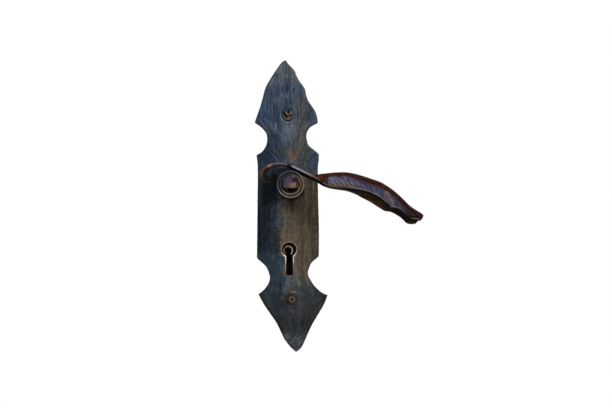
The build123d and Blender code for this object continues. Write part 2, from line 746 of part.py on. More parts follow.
# Rivet through that leg and the case's wall
with BuildPart() as detent_rivet:
    inner_face = leg_x - detent_strip / 2
    rivet_tip = inner_face - rivet_head_height
    turned_across([(rivet_tip, 0), (rivet_tip, detent_rivet_head / 2),
                   (inner_face, detent_rivet_head), (inner_face, detent_rivet_radius),
                   (case_right, detent_rivet_radius), (case_right, 0)],
                  (detent_near + detent_far) / 2, bolt_high + detent_leg)
finish(detent_rivet, "detent_rivet")


def key_bush(name, near, far):
    """Ring round the key's hole, open at the bottom where the key's bit passes."""
    with BuildPart() as bush:
        outer = key_bush_bore + key_bush_wall
        turned([(key_bush_bore, near), (outer, near), (outer, far), (key_bush_bore, far)], key_axis)
        low = (key_axis[0] - key_slot_width / 2, key_axis[1] - outer)
        slab(low, (key_axis[0] + key_slot_width / 2, key_axis[1]), near, far, Mode.SUBTRACT)
    finish(bush, name)


# Rings for the key: one in the cover for its shank, and one on the tray's floor for its tip
key_bush("front_key_bush", case_setback - key_bush_stand, case_setback - key_bush_stand + key_bush_length)
key_bush("rear_key_bush", inside_far - key_tip_length, inside_far)

# Ward on the tray's floor
with BuildPart() as ward_ring:
    ward_near = inside_far - ward_height
    turned([(ward_radius, ward_near), (ward_radius + ward_wall, ward_near),
            (ward_radius + ward_wall, inside_far), (ward_radius, inside_far)], key_axis)
    slab((key_axis[0] - key_slot_width / 2 - loose_gap, key_axis[1] - ward_radius - ward_wall),
         (key_axis[0] + key_slot_width / 2 + loose_gap, key_axis[1]), ward_near, inside_far, Mode.SUBTRACT)
finish(ward_ring, "ward_ring")
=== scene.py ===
import bmesh
import bpy
import math
import numpy as np
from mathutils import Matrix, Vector, noise
from mathutils.geometry import delaunay_2d_cdt


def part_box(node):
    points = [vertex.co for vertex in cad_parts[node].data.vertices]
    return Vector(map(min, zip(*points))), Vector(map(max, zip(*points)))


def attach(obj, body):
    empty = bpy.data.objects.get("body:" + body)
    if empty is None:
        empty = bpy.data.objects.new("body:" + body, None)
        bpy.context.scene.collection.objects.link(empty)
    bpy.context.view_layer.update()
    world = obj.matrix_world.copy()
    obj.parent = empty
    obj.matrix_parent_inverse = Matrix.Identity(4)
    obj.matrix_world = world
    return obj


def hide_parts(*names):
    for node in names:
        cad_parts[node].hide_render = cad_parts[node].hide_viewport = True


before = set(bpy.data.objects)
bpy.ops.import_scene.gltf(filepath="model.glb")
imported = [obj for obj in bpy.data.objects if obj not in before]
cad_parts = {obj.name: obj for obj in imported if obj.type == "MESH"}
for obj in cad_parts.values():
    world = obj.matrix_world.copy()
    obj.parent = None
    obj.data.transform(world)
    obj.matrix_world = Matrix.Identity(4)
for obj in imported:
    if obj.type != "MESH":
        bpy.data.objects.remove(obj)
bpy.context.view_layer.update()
mm = 0.001
scene = bpy.context.scene


# Shaders

class Wire:
    # one socket of a shader, so that its maths reads as arithmetic
    def __init__(self, tree, socket=None):
        self.tree = tree
        self.socket = socket

    def node(self, kind, settings, sockets, out=0):
        made = self.tree.nodes.new(kind)
        for key, value in settings.items():
            setattr(made, key, value)
        for key, value in sockets.items():
            if isinstance(value, Wire):
                self.tree.links.new(value.socket, made.inputs[key])
            else:
                made.inputs[key].default_value = paint(value) if isinstance(value, str) else value
        if made.outputs:
            return Wire(self.tree, made.outputs[out])

    def maths(self, operation, *values):
        return self.node("ShaderNodeMath", {"operation": operation}, dict(enumerate(values)))

    def __add__(self, other):
        return self.maths("ADD", self, other)

    def __sub__(self, other):
        return self.maths("SUBTRACT", self, other)

    def __rsub__(self, other):
        return self.maths("SUBTRACT", other, self)

    def __mul__(self, other):
        return self.maths("MULTIPLY", self, other)

    def __truediv__(self, other):
        return self.maths("DIVIDE", self, other)

    def __rtruediv__(self, other):
        return self.maths("DIVIDE", other, self)

    def __abs__(self):
        return self.maths("ABSOLUTE", self)

    __radd__ = __add__
    __rmul__ = __mul__


def paint(tone):
    # screen colour, written as #rrggbb, as the shader's own colour
    shares = [int(tone[i:i + 2], 16) / 255 for i in (1, 3, 5)]
    return [share / 12.92 if share <= 0.04045 else ((share + 0.055) / 1.055) ** 2.4 for share in shares] + [1]


def rise(value, low, high):
    # 0 at low, 1 at high, smooth between; works downwards too
    return value.node("ShaderNodeMapRange", {"interpolation_type": "SMOOTHSTEP"},
                      {"Value": value, "From Min": low, "From Max": high})


def band(value, low, high, soft):
    return rise(value, low - soft, low + soft) * rise(value, high + soft, high - soft)


def least(first, second):
    return first.maths("MINIMUM", first, second)


def most(first, second):
    return first.maths("MAXIMUM", first, second)


def tint(factor, first, second):
    return factor.node("ShaderNodeMix", {"data_type": "RGBA"}, {0: factor, 6: first, 7: second}, 2)


def layered(colour, *layers):
    # each layer is where it covers the ones before, and its tone
    for mask, tone in layers:
        colour = tint(mask, colour, tone)
    return colour


def scaled(colour, share):
    return share.node("ShaderNodeVectorMath", {"operation": "SCALE"}, {"Vector": colour, "Scale": share})


def grain(place, scale, stretch=(1, 1, 1), detail=3.0, rough=0.55):
    moved = place.node("ShaderNodeVectorMath", {"operation": "MULTIPLY"}, {0: place, 1: stretch})
    return place.node("ShaderNodeTexNoise", {}, {"Vector": moved, "Scale": scale, "Detail": detail,
                                                 "Roughness": rough})


def joined(x, y, z):
    return y.node("ShaderNodeCombineXYZ", {}, {0: x, 1: y, 2: z})


def carried(place, *names):
    # values that the mesh carries at each vertex
    return [place.node("ShaderNodeAttribute", {"attribute_name": name}, {}, 2) for name in names]


def distance(x, z, centre=(0, 0)):
    x, z = x - centre[0], z - centre[1]
    return x.maths("SQRT", x * x + z * z)


def spot(x, z, centre, radius, soft):
    return rise(distance(x, z, centre), radius + soft, radius - soft)


def lineAway(x, z, *corners):
    # distance from a line through these corners
    nearest = 1e3
    for (startX, startZ), (endX, endZ) in zip(corners, corners[1:]):
        alongX, alongZ = endX - startX, endZ - startZ
        share = ((x - startX) * alongX + (z - startZ) * alongZ) / (alongX ** 2 + alongZ ** 2)
        share = least(most(share, 0), 1)
        nearest = least(distance(x - share * alongX, z - share * alongZ, (startX, startZ)), nearest)
    return nearest


def emptyTree(owner):
    owner.use_nodes = True
    owner.node_tree.nodes.clear()
    return Wire(owner.node_tree)


def openFinish(name):
    # a new material, and the place on the piece in mm
    material = bpy.data.materials.new(name)
    metres = emptyTree(material).node("ShaderNodeTexCoord", {}, {}, "Object")
    place = metres.node("ShaderNodeVectorMath", {"operation": "SCALE"}, {"Vector": metres, "Scale": 1 / mm})
    x, y, z = [place.node("ShaderNodeSeparateXYZ", {}, {0: place}, axis) for axis in range(3)]
    return material, place, x, y, z


def closeFinish(material, colour, roughness, metallic, height, depth):
    # height from 0 to 1 stands for this depth in mm
    bump = height.node("ShaderNodeBump", {}, {"Height": height, "Distance": depth * mm})
    shader = bump.node("ShaderNodeBsdfPrincipled", {}, {
        "Base Color": colour, "Roughness": roughness, "Metallic": metallic, "Normal": bump,
        "Specular IOR Level": 0.06, "Specular Tint": (0.4, 0.4, 0.4, 1.0)})
    shader.node("ShaderNodeOutputMaterial", {}, {"Surface": shader})
    return material


# Meshes

def ringFaces(rings, count):
    # faces between closed rings of points that follow one another
    faces = []
    for start in range(0, (rings - 1) * count, count):
        for i in range(count):
            k = (i + 1) % count
            faces.append((start + i, start + k, start + count + k, start + count + i))
    return faces


def tubeFaces(rings, count):
    last = (rings - 1) * count
    return ringFaces(rings, count) + [tuple(range(count)), tuple(range(last, last + count))]


def buildPiece(name, points, faces, sharp=40, **values):
    # points in mm; each extra value is a list with one number a point
    mesh = bpy.data.meshes.new(name)
    mesh.from_pydata([(x * mm, y * mm, z * mm) for x, y, z in points], [], faces)
    for key, numbers in values.items():
        mesh.attributes.new(key, "FLOAT", "POINT").data.foreach_set("value", numbers)
    work = bmesh.new()
    work.from_mesh(mesh)
    bmesh.ops.recalc_face_normals(work, faces=work.faces)
    work.to_mesh(mesh)
    work.free()
    mesh.shade_smooth()
    mesh.set_sharp_from_angle(angle=math.radians(sharp))
    piece = bpy.data.objects.new(name, mesh)
    scene.collection.objects.link(piece)
    return piece


def seat(piece, material, body, node):
    piece.data.materials.append(material)
    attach(piece, body)
    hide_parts(node)


def smoothRun(points, step):
    # curve through the points at about this spacing; its first and last point stay as corners
    points = [Vector(p) for p in points]
    run = [points[0] * 2 - points[1]] + points + [points[-1] * 2 - points[-2]]
    made = []
    for a, b, c, d in zip(run, run[1:], run[2:], run[3:]):
        count = max(1, round((c - b).length / step))
        for t in [i / count for i in range(count)]:
            made.append(0.5 * ((2 * b) + (c - a) * t + (2 * a - 5 * b + 4 * c - d) * t ** 2
                               + (3 * b - a - 3 * c + d) * t ** 3))
    return made + [points[-1]]


def steadyCurve(points, x):
    # value at x of a curve through the points that never swings past them
    x = min(max(x, points[0][0]), points[-1][0])
    slopes = [(b[1] - a[1]) / (b[0] - a[0]) for a, b in zip(points, points[1:])]
    index = max(i for i in range(len(slopes)) if points[i][0] <= x)
    (x0, y0), (x1, y1) = points[index], points[index + 1]

    def slopeAt(i):
        before, after = slopes[max(i - 1, 0)], slopes[min(i, len(slopes) - 1)]
        return 0 if before * after <= 0 else 2 * before * after / (before + after)
    wide = x1 - x0
    t = (x - x0) / wide
    return ((2 * t ** 3 - 3 * t ** 2 + 1) * y0 + (t ** 3 - 2 * t ** 2 + t) * wide * slopeAt(index)
            + (3 * t ** 2 - 2 * t ** 3) * y1 + (t ** 3 - t ** 2) * wide * slopeAt(index + 1))


def soft(value, low, high):
    # rise, on numbers
    share = min(1, max(0, (value - low) / (high - low)))
    return share * share * (3 - 2 * share)


def hill(value, wide):
    # 1 at nought, falling away on both sides
    return math.exp(-(value / wide) ** 2)


def wobble(x, y, z):
    return noise.noise(Vector((x, y, z)))


def ringPoints(centre, radius, count):
    return [(centre[0] + radius * math.cos(math.tau * i / count),
             centre[1] + radius * math.sin(math.tau * i / count)) for i in range(count)]


def unchanged(*place):
    return 0


def turnedPiece(name, profile, centre, count, bend=unchanged, swell=unchanged):
    # solid of revolution about an axis along Y; the profile gives radius and depth, from axis to axis
    points = []
    for radius, depth in profile:
        for i in range(count):
            angle = math.tau * i / count
            grown = radius + swell(angle, depth, radius)
            x, z = grown * math.cos(angle), grown * math.sin(angle)
            points.append((centre[0] + x, depth + bend(x, z, depth), centre[1] + z))
    faces = ringFaces(len(profile), count)
    for row, depth in ((0, profile[0][1]), (len(profile) - 1, profile[-1][1])):
        points.append((centre[0], depth + bend(0, 0, depth), centre[1]))
        faces += [(len(points) - 1, row * count + i, row * count + (i + 1) % count) for i in range(count)]
    return buildPiece(name, points, faces)


# Backplate

plate = {
    "front": -3.0,
    # spacing of its points: along the outline, across and up the front, and at the back
    "edgeStep": 0.9,
    "across": 0.48,
    "along": 1.5,
    "backGap": 4.0,
    # lines of points beside the outline, the keyhole and, with their counts, the upper screw
    "bevelRings": (0.35, 0.8, 1.4),
    "keyRings": (0.3, 0.7, 1.2),
    "dimpleRings": [(3.2, 32), (4.4, 40), (5.1, 48), (5.7, 54), (6.2, 60), (6.8, 60)],
    "ringSlack": 0.02,
    # how far the other points stay from these lines, from the holes and from the edge at the back
    "ringClear": 0.35,
    "keyClear": 1.6,
    "dimpleClear": 7.2,
    "holeClear": 0.4,
    "backClear": 2.0,
    "bushHole": 10.49,
    "bushCorners": 72,
    "upperScrew": (-2.5, 61.1),
    "lowerScrew": (0.3, -99.6),
    "screwHole": 2.3,
    "screwCorners": 32,
    "dimple": 6.3,
    "dimpleDepth": 0.6,
    "dimpleRim": 0.25,
    "chiselDepth": 0.35,
    "bevelFall": 0.75,
    "wornFall": 0.5,
    "keyCentre": (-1.4, -56.6),
    "keyRadius": 6.4,
    "slotMiddle": -1.1,
    "slotHalf": 3.05,
    "slotBottom": -79.2,
    "lipDepth": 0.45,
    # steps round the keyhole's circle, then down, across and up its slot
    "keySteps": (48, 20, 8, 20),
    # dents: width, height, seed and depth
    "dents": [(10, 12, 1.7, 0.2), (3.6, 5, 5.2, 0.13)],
    "strokeDepth": 0.22,
    # file strokes: gap between them, length, seed and share of the depth
    "strokeSets": [(3.6, 30.0, 3.1, 1.0), (2.5, 20.0, 8.7, 0.8)],
    # single upright scratches: x, lowest and highest z, how much lighter or darker
    "scratches": [(-13.4, 46, 54, 1.0), (-16.3, -38, -31, 0.9), (-1.0, -47, -34, -0.5),
                  (-5.6, -90, -83, -0.5), (7.7, -89, -83, 0.6), (-9.1, -95, -86, -0.4),
                  (9.8, -125, -119, -0.5), (3.0, -124, -117, -0.4), (11.2, -36, -25, -0.4),
                  (-4.6, -32, -20, 0.3), (-21.5, -108, -100, -0.5), (5.0, -98, -92, 0.4)],
    # clockwise from the top tip; each list starts at a corner and runs on to the next one
    "outline": [
        [(-4.7, 109.4), (-1.9, 105.6), (3.0, 100.3), (5.2, 95.1), (8.3, 89.8), (12.1, 84.5), (13.3, 79.3),
         (15.1, 74.0), (18.6, 68.8), (21.8, 63.5), (23.3, 58.2)],
        [(23.6, 54.3), (16.8, 50.3), (13.9, 45.1), (14.0, 39.8), (15.7, 34.6), (21.9, 29.3)],
        [(24.6, 26.7), (24.5, 21.4), (23.7, 13.5), (24.0, -12.0), (24.6, -36.5), (24.6, -60.2)],
        [(24.3, -62.8), (18.4, -68.1), (15.8, -73.3), (15.1, -78.6), (17.6, -83.8), (21.3, -89.1),
         (27.2, -94.4)],
        [(32.2, -96.6), (28.9, -104.9), (19.6, -120.7), (15.7, -128.6), (12.3, -136.5), (9.7, -141.7),
         (7.4, -144.4)],
        [(4.6, -146.4), (2.2, -144.4), (-0.5, -141.7), (-4.7, -136.5), (-8.8, -128.6), (-12.6, -120.7),
         (-18.0, -112.8), (-23.4, -104.9)],
        [(-28.4, -95.8), (-23.4, -91.7), (-19.7, -86.5), (-18.3, -81.2), (-19.6, -75.9), (-22.5, -70.7),
         (-28.4, -65.4)],
        [(-29.7, -63.2), (-29.5, -45.0), (-29.2, -13.7), (-29.0, 13.5)],
        [(-30.0, 26.0), (-25.0, 29.3), (-21.6, 34.6), (-20.7, 39.8), (-21.6, 45.1), (-25.9, 50.3)],
        [(-31.6, 54.5), (-29.5, 60.9), (-26.8, 68.8), (-24.5, 76.6), (-22.4, 84.5), (-18.2, 92.4),
         (-9.3, 105.6)],
    ],
}


def strokeWidth(z, low, high, step):
    # file strokes spread upwards from the boss and run together again in the lower tip; this works on
    # numbers and on wires, with their own functions for the lower, the higher and the smooth step
    return high(high(low((z - 6) / 50, 1.05), low((-40 - z) / 55, (z + 160) / 65)),
                0.6 - step(z, 2, 14) * 0.3 - step(z, -105, -130) * 0.25)


def strokesAt(x, z):
    # thin wandering lines, deepest along their middle
    side = x / strokeWidth(z, min, max, soft)
    notches = soft(abs(x), 5, 12) * (soft(z, 10, 20) - soft(z, 52, 64))
    middle = soft(z, 12, -4) * (1 - soft(z, -78, -92))
    strength = 0.75 + 0.6 * notches - 0.5 * middle + 0.25 * wobble(x / 9, z / 15, 6.6)
    strength *= 1 - 0.6 * soft(z, -88, -100)
    return strength * sum(share * hill(wobble(side / gap, z / length, seed), 0.15)
                          for gap, length, seed, share in plate["strokeSets"])


def keyholeAway(x, z):
    # distance from the keyhole's edge, negative inside it
    circle = math.dist((x, z), plate["keyCentre"]) - plate["keyRadius"]
    if z > plate["keyCentre"][1]:
        return circle
    side = abs(x - plate["slotMiddle"]) - plate["slotHalf"]
    below = plate["slotBottom"] - z
    return min(circle, math.hypot(side, below) if side > 0 and below > 0 else max(side, below))


def keyholeLoop(grow):
    # circle and slot, widened by this much
    centreX, centreZ = plate["keyCentre"]
    radius = plate["keyRadius"] + grow
    half = plate["slotHalf"] + grow
    bottom = plate["slotBottom"] - grow
    left, right = plate["slotMiddle"] - half, plate["slotMiddle"] + half
    start, end = [math.atan2(-math.sqrt(radius ** 2 - (x - centreX) ** 2), x - centreX)
                  for x in (right, left)]
    turn = end + math.tau - start
    circle, *straights = plate["keySteps"]
    angles = [start + turn * i / circle for i in range(circle + 1)]
    loop = [(centreX + radius * math.cos(angle), centreZ + radius * math.sin(angle)) for angle in angles]
    corners = [loop.pop(), (left, bottom), (right, bottom), loop[0]]
    for (ax, az), (bx, bz), count in zip(corners, corners[1:], straights):
        loop += [(ax + (bx - ax) * i / count, az + (bz - az) * i / count) for i in range(count)]
    return loop


def awayFrom(points, loop):
    # distance of each point from a closed loop
    points = np.array(points, float)
    start = np.array(loop, float)
    step = np.roll(start, -1, axis=0) - start
    nearest = np.full(len(points), 1e9)
    for origin, along, size in zip(start, step, (step ** 2).sum(1)):
        share = np.clip(((points - origin) @ along) / size, 0, 1)
        gap = points - origin - share[:, None] * along
        nearest = np.minimum(nearest, (gap ** 2).sum(1))
    return np.sqrt(nearest)


def within(points, loop):
    x, z = np.array(points, float).T
    inside = np.zeros(len(points), bool)
    for (x0, z0), (x1, z1) in zip(loop, loop[1:] + loop[:1]):
        if z0 != z1:
            inside ^= ((z0 > z) != (z1 > z)) & (x < x0 + (x1 - x0) * (z - z0) / (z1 - z0))
    return inside


def plateRelief(x, z, edge):
    # how far the front stands back from flat, in mm, and how deep the strokes are there
    stroke = strokesAt(x, z)
    dents = sum(depth * wobble(x / wide, z / tall, seed) for wide, tall, seed, depth in plate["dents"])
    dents += 0.1 * soft(z, -92, -110) * wobble(x / 1.7, z / 1.7, 2.9)
    lobe = soft(z, -92, -104)
    width = 1.1 + 1.5 * lobe + 0.4 * wobble(x / 7, z / 7, 9.4)
    worn = soft(x, -20, -27) * soft(z, 12, 0) * (1 - soft(z, -52, -62))
    fall = (plate["bevelFall"] + 0.35 * lobe) * (1 - soft(edge, -0.4, width))
    fall += plate["wornFall"] * worn * (1 - soft(edge, 0, 5))
    lip = plate["lipDepth"] * (1 - soft(keyholeAway(x, z), -0.3, 1.0))
    reach = math.dist((x, z), plate["upperScrew"])
    dimple = plate["dimpleDepth"] * (1 - soft(reach, 4.6, plate["dimple"]))
    rim = plate["dimpleRim"] * hill(reach - plate["dimple"] - 0.6, 0.7)
    # chisel line over the lower screw
    lineX, lineZ = plate["lowerScrew"]
    chisel = plate["chiselDepth"] * hill(z - lineZ - 7.0, 0.55) * (1 - soft(abs(x - lineX - 0.7), 3.0, 4.2))
    return fall + lip + dimple - rim + chisel + plate["strokeDepth"] * stroke - dents, stroke


def plateOutline():
    stretches = plate["outline"]
    outline = [tuple(p) for stretch, following in zip(stretches, stretches[1:] + stretches[:1])
               for p in smoothRun(stretch + following[:1], plate["edgeStep"])[:-1]]
    return [(x + 0.12 * wobble(x / 3, z / 3, 0.5), z + 0.12 * wobble(x / 3, z / 3, 7.5)) for x, z in outline]


def bevelPoints(outline):
    # points on lines that follow the outline inside, for the bevel
    spread = []
    for (ax, az), (bx, bz), (cx, cz) in zip(outline[-1:] + outline, outline, outline[1:] + outline[:1]):
        out = Vector((cz - az, ax - cx)).normalized()
        for grow in plate["bevelRings"]:
            spread += [(bx + out.x * grow, bz + out.y * grow), (bx - out.x * grow, bz - out.y * grow)]
    return [p for p, gap, good in zip(spread, awayFrom(spread, outline), within(spread, outline))
            if good and min(abs(gap - grow) for grow in plate["bevelRings"]) < plate["ringSlack"]]


def latticePoints(outline, across, along, clear):
    low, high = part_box("backplate")
    columns = np.arange(low.x / mm, high.x / mm, across)
    rows = np.arange(low.z / mm, high.z / mm, along)
    lattice = [(x, z + (i % 2) * along / 2) for i, x in enumerate(columns) for z in rows]
    good = within(lattice, outline) & (awayFrom(lattice, outline) > clear)
    holes = [((0, 0), plate["bushHole"] + plate["holeClear"]), (plate["upperScrew"], plate["dimpleClear"]),
             (plate["lowerScrew"], plate["screwHole"] + plate["holeClear"])]
    return [p for p, keep in zip(lattice, good) if keep and keyholeAway(*p) > plate["keyClear"]
            and all(math.dist(p, centre) > away for centre, away in holes)]


def plateSide(loops, spread):
    # points and triangles over the outline without its holes, and the loops' own edges
    flat = [p for loop in loops for p in loop] + spread
    edges = []
    for loop in loops:
        first = len(edges)
        edges += [(first + i, first + (i + 1) % len(loop)) for i in range(len(loop))]
    found, _, triangles, origins, _, _ = delaunay_2d_cdt([Vector(p) for p in flat], edges, [], 1, 1e-5)
    middles = [sum((found[i] for i in face), Vector((0, 0))) / 3 for face in triangles]
    solid = within(middles, loops[0])
    for hole in loops[1:]:
        solid &= ~within(middles, hole)
    index = {old: new for new, olds in enumerate(origins) for old in olds}
    return ([tuple(p) for p in found], [face for face, good in zip(triangles, solid) if good],
            [(index[a], index[b]) for a, b in edges])


def makePlate():
    outline = plateOutline()
    loops = [outline, ringPoints((0, 0), plate["bushHole"], plate["bushCorners"]), keyholeLoop(0)]
    loops += [ringPoints(plate[key], plate["screwHole"], plate["screwCorners"])
              for key in ("upperScrew", "lowerScrew")]
    spread = bevelPoints(outline)
    for grow in plate["keyRings"]:
        spread += keyholeLoop(grow)
    for radius, count in plate["dimpleRings"]:
        spread += ringPoints(plate["upperScrew"], radius, count)
    clear = max(plate["bevelRings"]) + plate["ringClear"]
    spread += latticePoints(outline, plate["across"], plate["along"], clear)
    fronts, faces, frontEdges = plateSide(loops, spread)
    gap = plate["backGap"]
    backs, backFaces, backEdges = plateSide(loops, latticePoints(outline, gap, gap, plate["backClear"]))
    edges = awayFrom(fronts + backs, outline)
    edges[[a for a, _ in frontEdges[:len(outline)]]] = 0
    reliefs = [plateRelief(x, z, edge) for (x, z), edge in zip(fronts, edges)]
    points = [(x, plate["front"] + back, z) for (x, z), (back, _) in zip(fronts, reliefs)]
    points += [(x, 0, z) for x, z in backs]
    strokes = [stroke for _, stroke in reliefs] + [0.0] * len(backs)
    count = len(fronts)
    faces += [tuple(count + i for i in face) for face in backFaces]
    faces += [(a, b, count + d, count + c) for (a, b), (c, d) in zip(frontEdges, backEdges)]
    print("plate:", len(faces), "faces")
    return buildPiece("forgedPlate", points, faces, 35, edge=list(edges), stroke=strokes)


def plateFinish():
    material, place, x, y, z = openFinish("forgedPlateFinish")
    stroke, edge = carried(place, "stroke", "edge")
    speck = grain(place, 0.75, detail=5.0, rough=0.68)
    mottle = grain(place, 0.2, detail=4.0, rough=0.6)
    patches = grain(place, 0.33, rough=0.6)
    fine, blot, patch = speck - 0.5, mottle - 0.5, patches - 0.5
    drift = (grain(place, 0.075, detail=4.0) - 0.5) * 16 + blot * 16 + patch * 7
    # places that wander by two, three and four tenths of the drift
    x2, x3, z3, z4 = x + drift * 0.2, x + drift * 0.3, z + drift * 0.3, z + drift * 0.4
    flow = joined(x / strokeWidth(z, least, most, rise), y, z)
    broad = grain(flow, 1.0, (0.16, 1, 0.03))
    lines = grain(flow, 1.0, (0.5, 1, 0.02), rough=0.7)
    thin = grain(flow, 1.0, (0.34, 1, 0.016), 1.0)
    pale = grain(flow, 1.0, (0.27, 1, 0.022), 1.0)
    filed = rise(grain(flow, 1.0, (0.12, 1, 0.05), 2.0), 0.42, 0.56)
    filed = filed * (0.45 + rise(z, -4, 18) * 0.55 - rise(z, -92, -100) * 0.2)
    below = rise(z, 14, -6)
    lower = rise(z3, -86, -98)
    # brown area below the boss and to its right, warmest over the keyhole
    lean = rise(z, -30, -45) * 4 - rise(z, -56, -66) * 12
    area = rise(x + drift * 1.3 + lean, -14, -1) * rise(z + drift * 0.6 - rise(x, 4, 12) * 9, 8, -4)
    area = area * rise(z4, -96, -80)
    brown = layered(
        tint(rise(x + drift * 0.4, 2, 22), "#52483c", "#3e372d"),
        (rise(broad, 0.42, 0.62) * 0.5, "#544b3c"),
        (spot(x, z, (2, -46), 6, 8) * 0.65, "#625042"),
        (rise(z4, -70, -84) * rise(x, 16, 4) * 0.7, "#4c4e4c"),
        (rise(mottle, 0.52, 0.66) * 0.55, "#343a39"))
    olive = tint(band(z + drift * 0.5, 26, 50, 6), "#454847", "#4c4b44")
    # painted shadow of the boss and scroll to their left, over dark patina
    darkLeft = rise(x + drift * 0.5 + band(z, -34, -16, 6) * 5, -7, -15) * band(z, -60, 10, 9)
    # painted shade along the plate's left edge, in patches
    leftEdgeShade = rise(x + patch * 4, -25.5, -27.5) * band(z, -60, -20, 4) * rise(mottle, 0.34, 0.5)
    border = rise(edge + patch * 6, 5.5, 1.0) * lower * rise(z, -128, -112)
    drip = rise(grain(place, 1.0, (0.45, 1, 0.05), 2.0), 0.48, 0.6) * band(x, -9, 7, 2) * band(z, -26, -12, 4)
    drip = most(drip, band(x, 0.7, 2.1, 0.7) * band(z, -25, -14, 2))
    # painted shadow hugging the boss on its left and lower side
    under = rise(distance(x, z) + blot * 6, 15.5, 12.5) * rise(x * 0.6 + z, 9, -2)
    colour = layered(
        tint(rise(mottle + (broad - 0.5) * 0.8, 0.36, 0.64), "#303c4d", "#404955"),
        # slate, greyer at the tip and between the upper notches
        (rise(z + drift * 0.5, 82, 100) * 0.85, "#484f54"),
        (band(x3, -7, 5, 3) * band(z3, 37, 55, 6) * 0.8, "#545e67"),
        (rise(z + drift, 0, -40) * 0.7, "#2c383f"),
        (rise(x3, -8, -16) * band(z, 54, 84, 7) * 0.5, "#2e394a"),
        # darker blue over the left of the bar: partly the plate's tone, partly painted shadow of the scroll
        (rise(x3, -6, -16) * band(z, 12, 48, 7) * 0.7, "#25323f"),
        (band(x2, 4, 15, 3.5) * band(z + drift, 14, 78, 8) * 0.85, olive),
        (spot(x2, z * 0.7, (-9, 22), 3, 4) * 0.6, "#262f39"),
        (rise(x2, -12, -20) * band(z, 16, 40, 6) * 0.6, "#1c2836"),
        (rise(x, -18, -25) * band(z, 55, 74, 6) * 0.5, "#2c4262"),
        # brown, and its spots over the boss
        (rise(mottle, 0.46, 0.34) * rise(z, 10, -20) * 0.4, "#3c3a34"),
        (area * 0.97, brown),
        (spot(x2, z * 0.55 + drift * 0.2, (1.6, 14.2), 3.8, 2.8) * 0.95, "#5c4e42"),
        (spot(x2, z * 0.6, (-5.5, 17.6), 2.4, 2.6) * 0.7, "#343531"),
        (rise(x2, 18, 23) * band(z, -30, -6, 6) * 0.5, "#564f44"),
        # dark to the left of the boss and under it: painted shadow of the boss and scroll, partly over dark
        # patina
        (darkLeft * 0.88, "#181e24"),
        (rise(x3, -7, -13) * rise(x, -27, -22) * band(z, -15, 13, 6) * 0.9, "#13161b"),
        (spot(x2, z, (-8, -28), 3, 5) * 0.5, "#424948"),
        (rise(x2, -17, -23) * band(z, -62, -40, 5) * 0.6, "#121a22"),
        (rise(x3, -5, -11) * band(z, -90, -62, 5) * 0.75, "#232c33"),
        (spot(x2, z, (13, -46), 2.5, 4) * 0.5, "#383228"),
        # painted shade along the left edge
        (leftEdgeShade * 0.85, "#121214"),
        (spot(x, z, (-18.5, 9.5), 2.0, 2.5) * 0.85, "#223448"),
        # painted shadow under the boss
        (spot(x, z, (3, -14), 8, 6) * 0.7, "#2e261d"),
        (spot(x, z, (16, -8), 4, 7) * 0.5, "#322a20"),
        (spot(x, z, (16, 9), 4, 6) * 0.6, "#282c32"),
        # lower lobes and tip
        (lower * 0.9, tint(rise(x + drift, -12, 6), "#21282e", "#2f2f31")),
        (rise(x2, -17, -23) * lower * 0.6, "#32322c"),
        (band(z3, -129, -114, 5) * 0.6, "#21252a"),
        (rise(z + drift * 0.2, -128, -138) * 0.75, "#42474c"),
        (spot(x + drift * 0.4, z, (-1, -91), 6, 4) * 0.6, "#4e5054"),
        (spot(x, z, (-3, -132), 1.2, 1.6) * 0.7, "#60666c"),
        (border * 0.65, "#2a281e"),
        (rise(x + drift * 0.1, 26, 30) * lower * 0.75, "#1e1812"),
        # rust that ran down from the boss, painted shadow round the boss and under the bar, and spots of rust
        (drip * 0.7, "#3a2316"),
        (under * 0.85, tint(rise(x, -4, 4), "#0f0f0f", "#1c1611")),
        (band(x, -12, 1, 2) * band(z, 10.5, 15, 1.5) * 0.85, "#12110e"),
        (spot(x, z, (-3.6, -30.6), 0.8, 1.2) * 0.5, "#784a2e"),
        (spot(x, z, (11.8, 6.6), 1.2, 1.2) * 0.5, "#784a2e"))
    # grain, pits and scratches only darken or lighten the tone they lie on
    changes = [
        rise(abs(thin - 0.5), 0.045, 0.015) * filed * -0.5,
        rise(abs(thin - 0.57), 0.035, 0.01) * filed * 0.4,
        rise(abs(pale - 0.5), 0.025, 0.008) * filed * rise(mottle, 0.6, 0.48) * 0.8,
        # darker along the file strokes' grooves: painted shade
        rise(stroke, 0.35, 1.1) * -0.36,
        ((rise(mottle, 0.4, 0.6) - 0.5) * 0.2 + (rise(broad, 0.4, 0.6) - 0.5) * 0.3) * below,
        rise(abs(x), 4, 12) * band(z, 16, 56, 8) * (lines - 0.5) * 1.2,
        (rise(patches, 0.36, 0.64) - 0.5) * (0.24 + below * 0.12),
        rise(z, -124, -136) * (rise(patches, 0.46, 0.62) - 0.35) * 0.4]
    changes += [band(x + patch * 1.2, middle - 0.35, middle + 0.35, 0.35) * band(z, low, high, 1.5) * share
                for middle, low, high, share in plate["scratches"]]
    shade = (0.72 + lines * 0.56) * (0.68 + speck * 0.7)
    for change in changes:
        shade = shade * (1 + change)
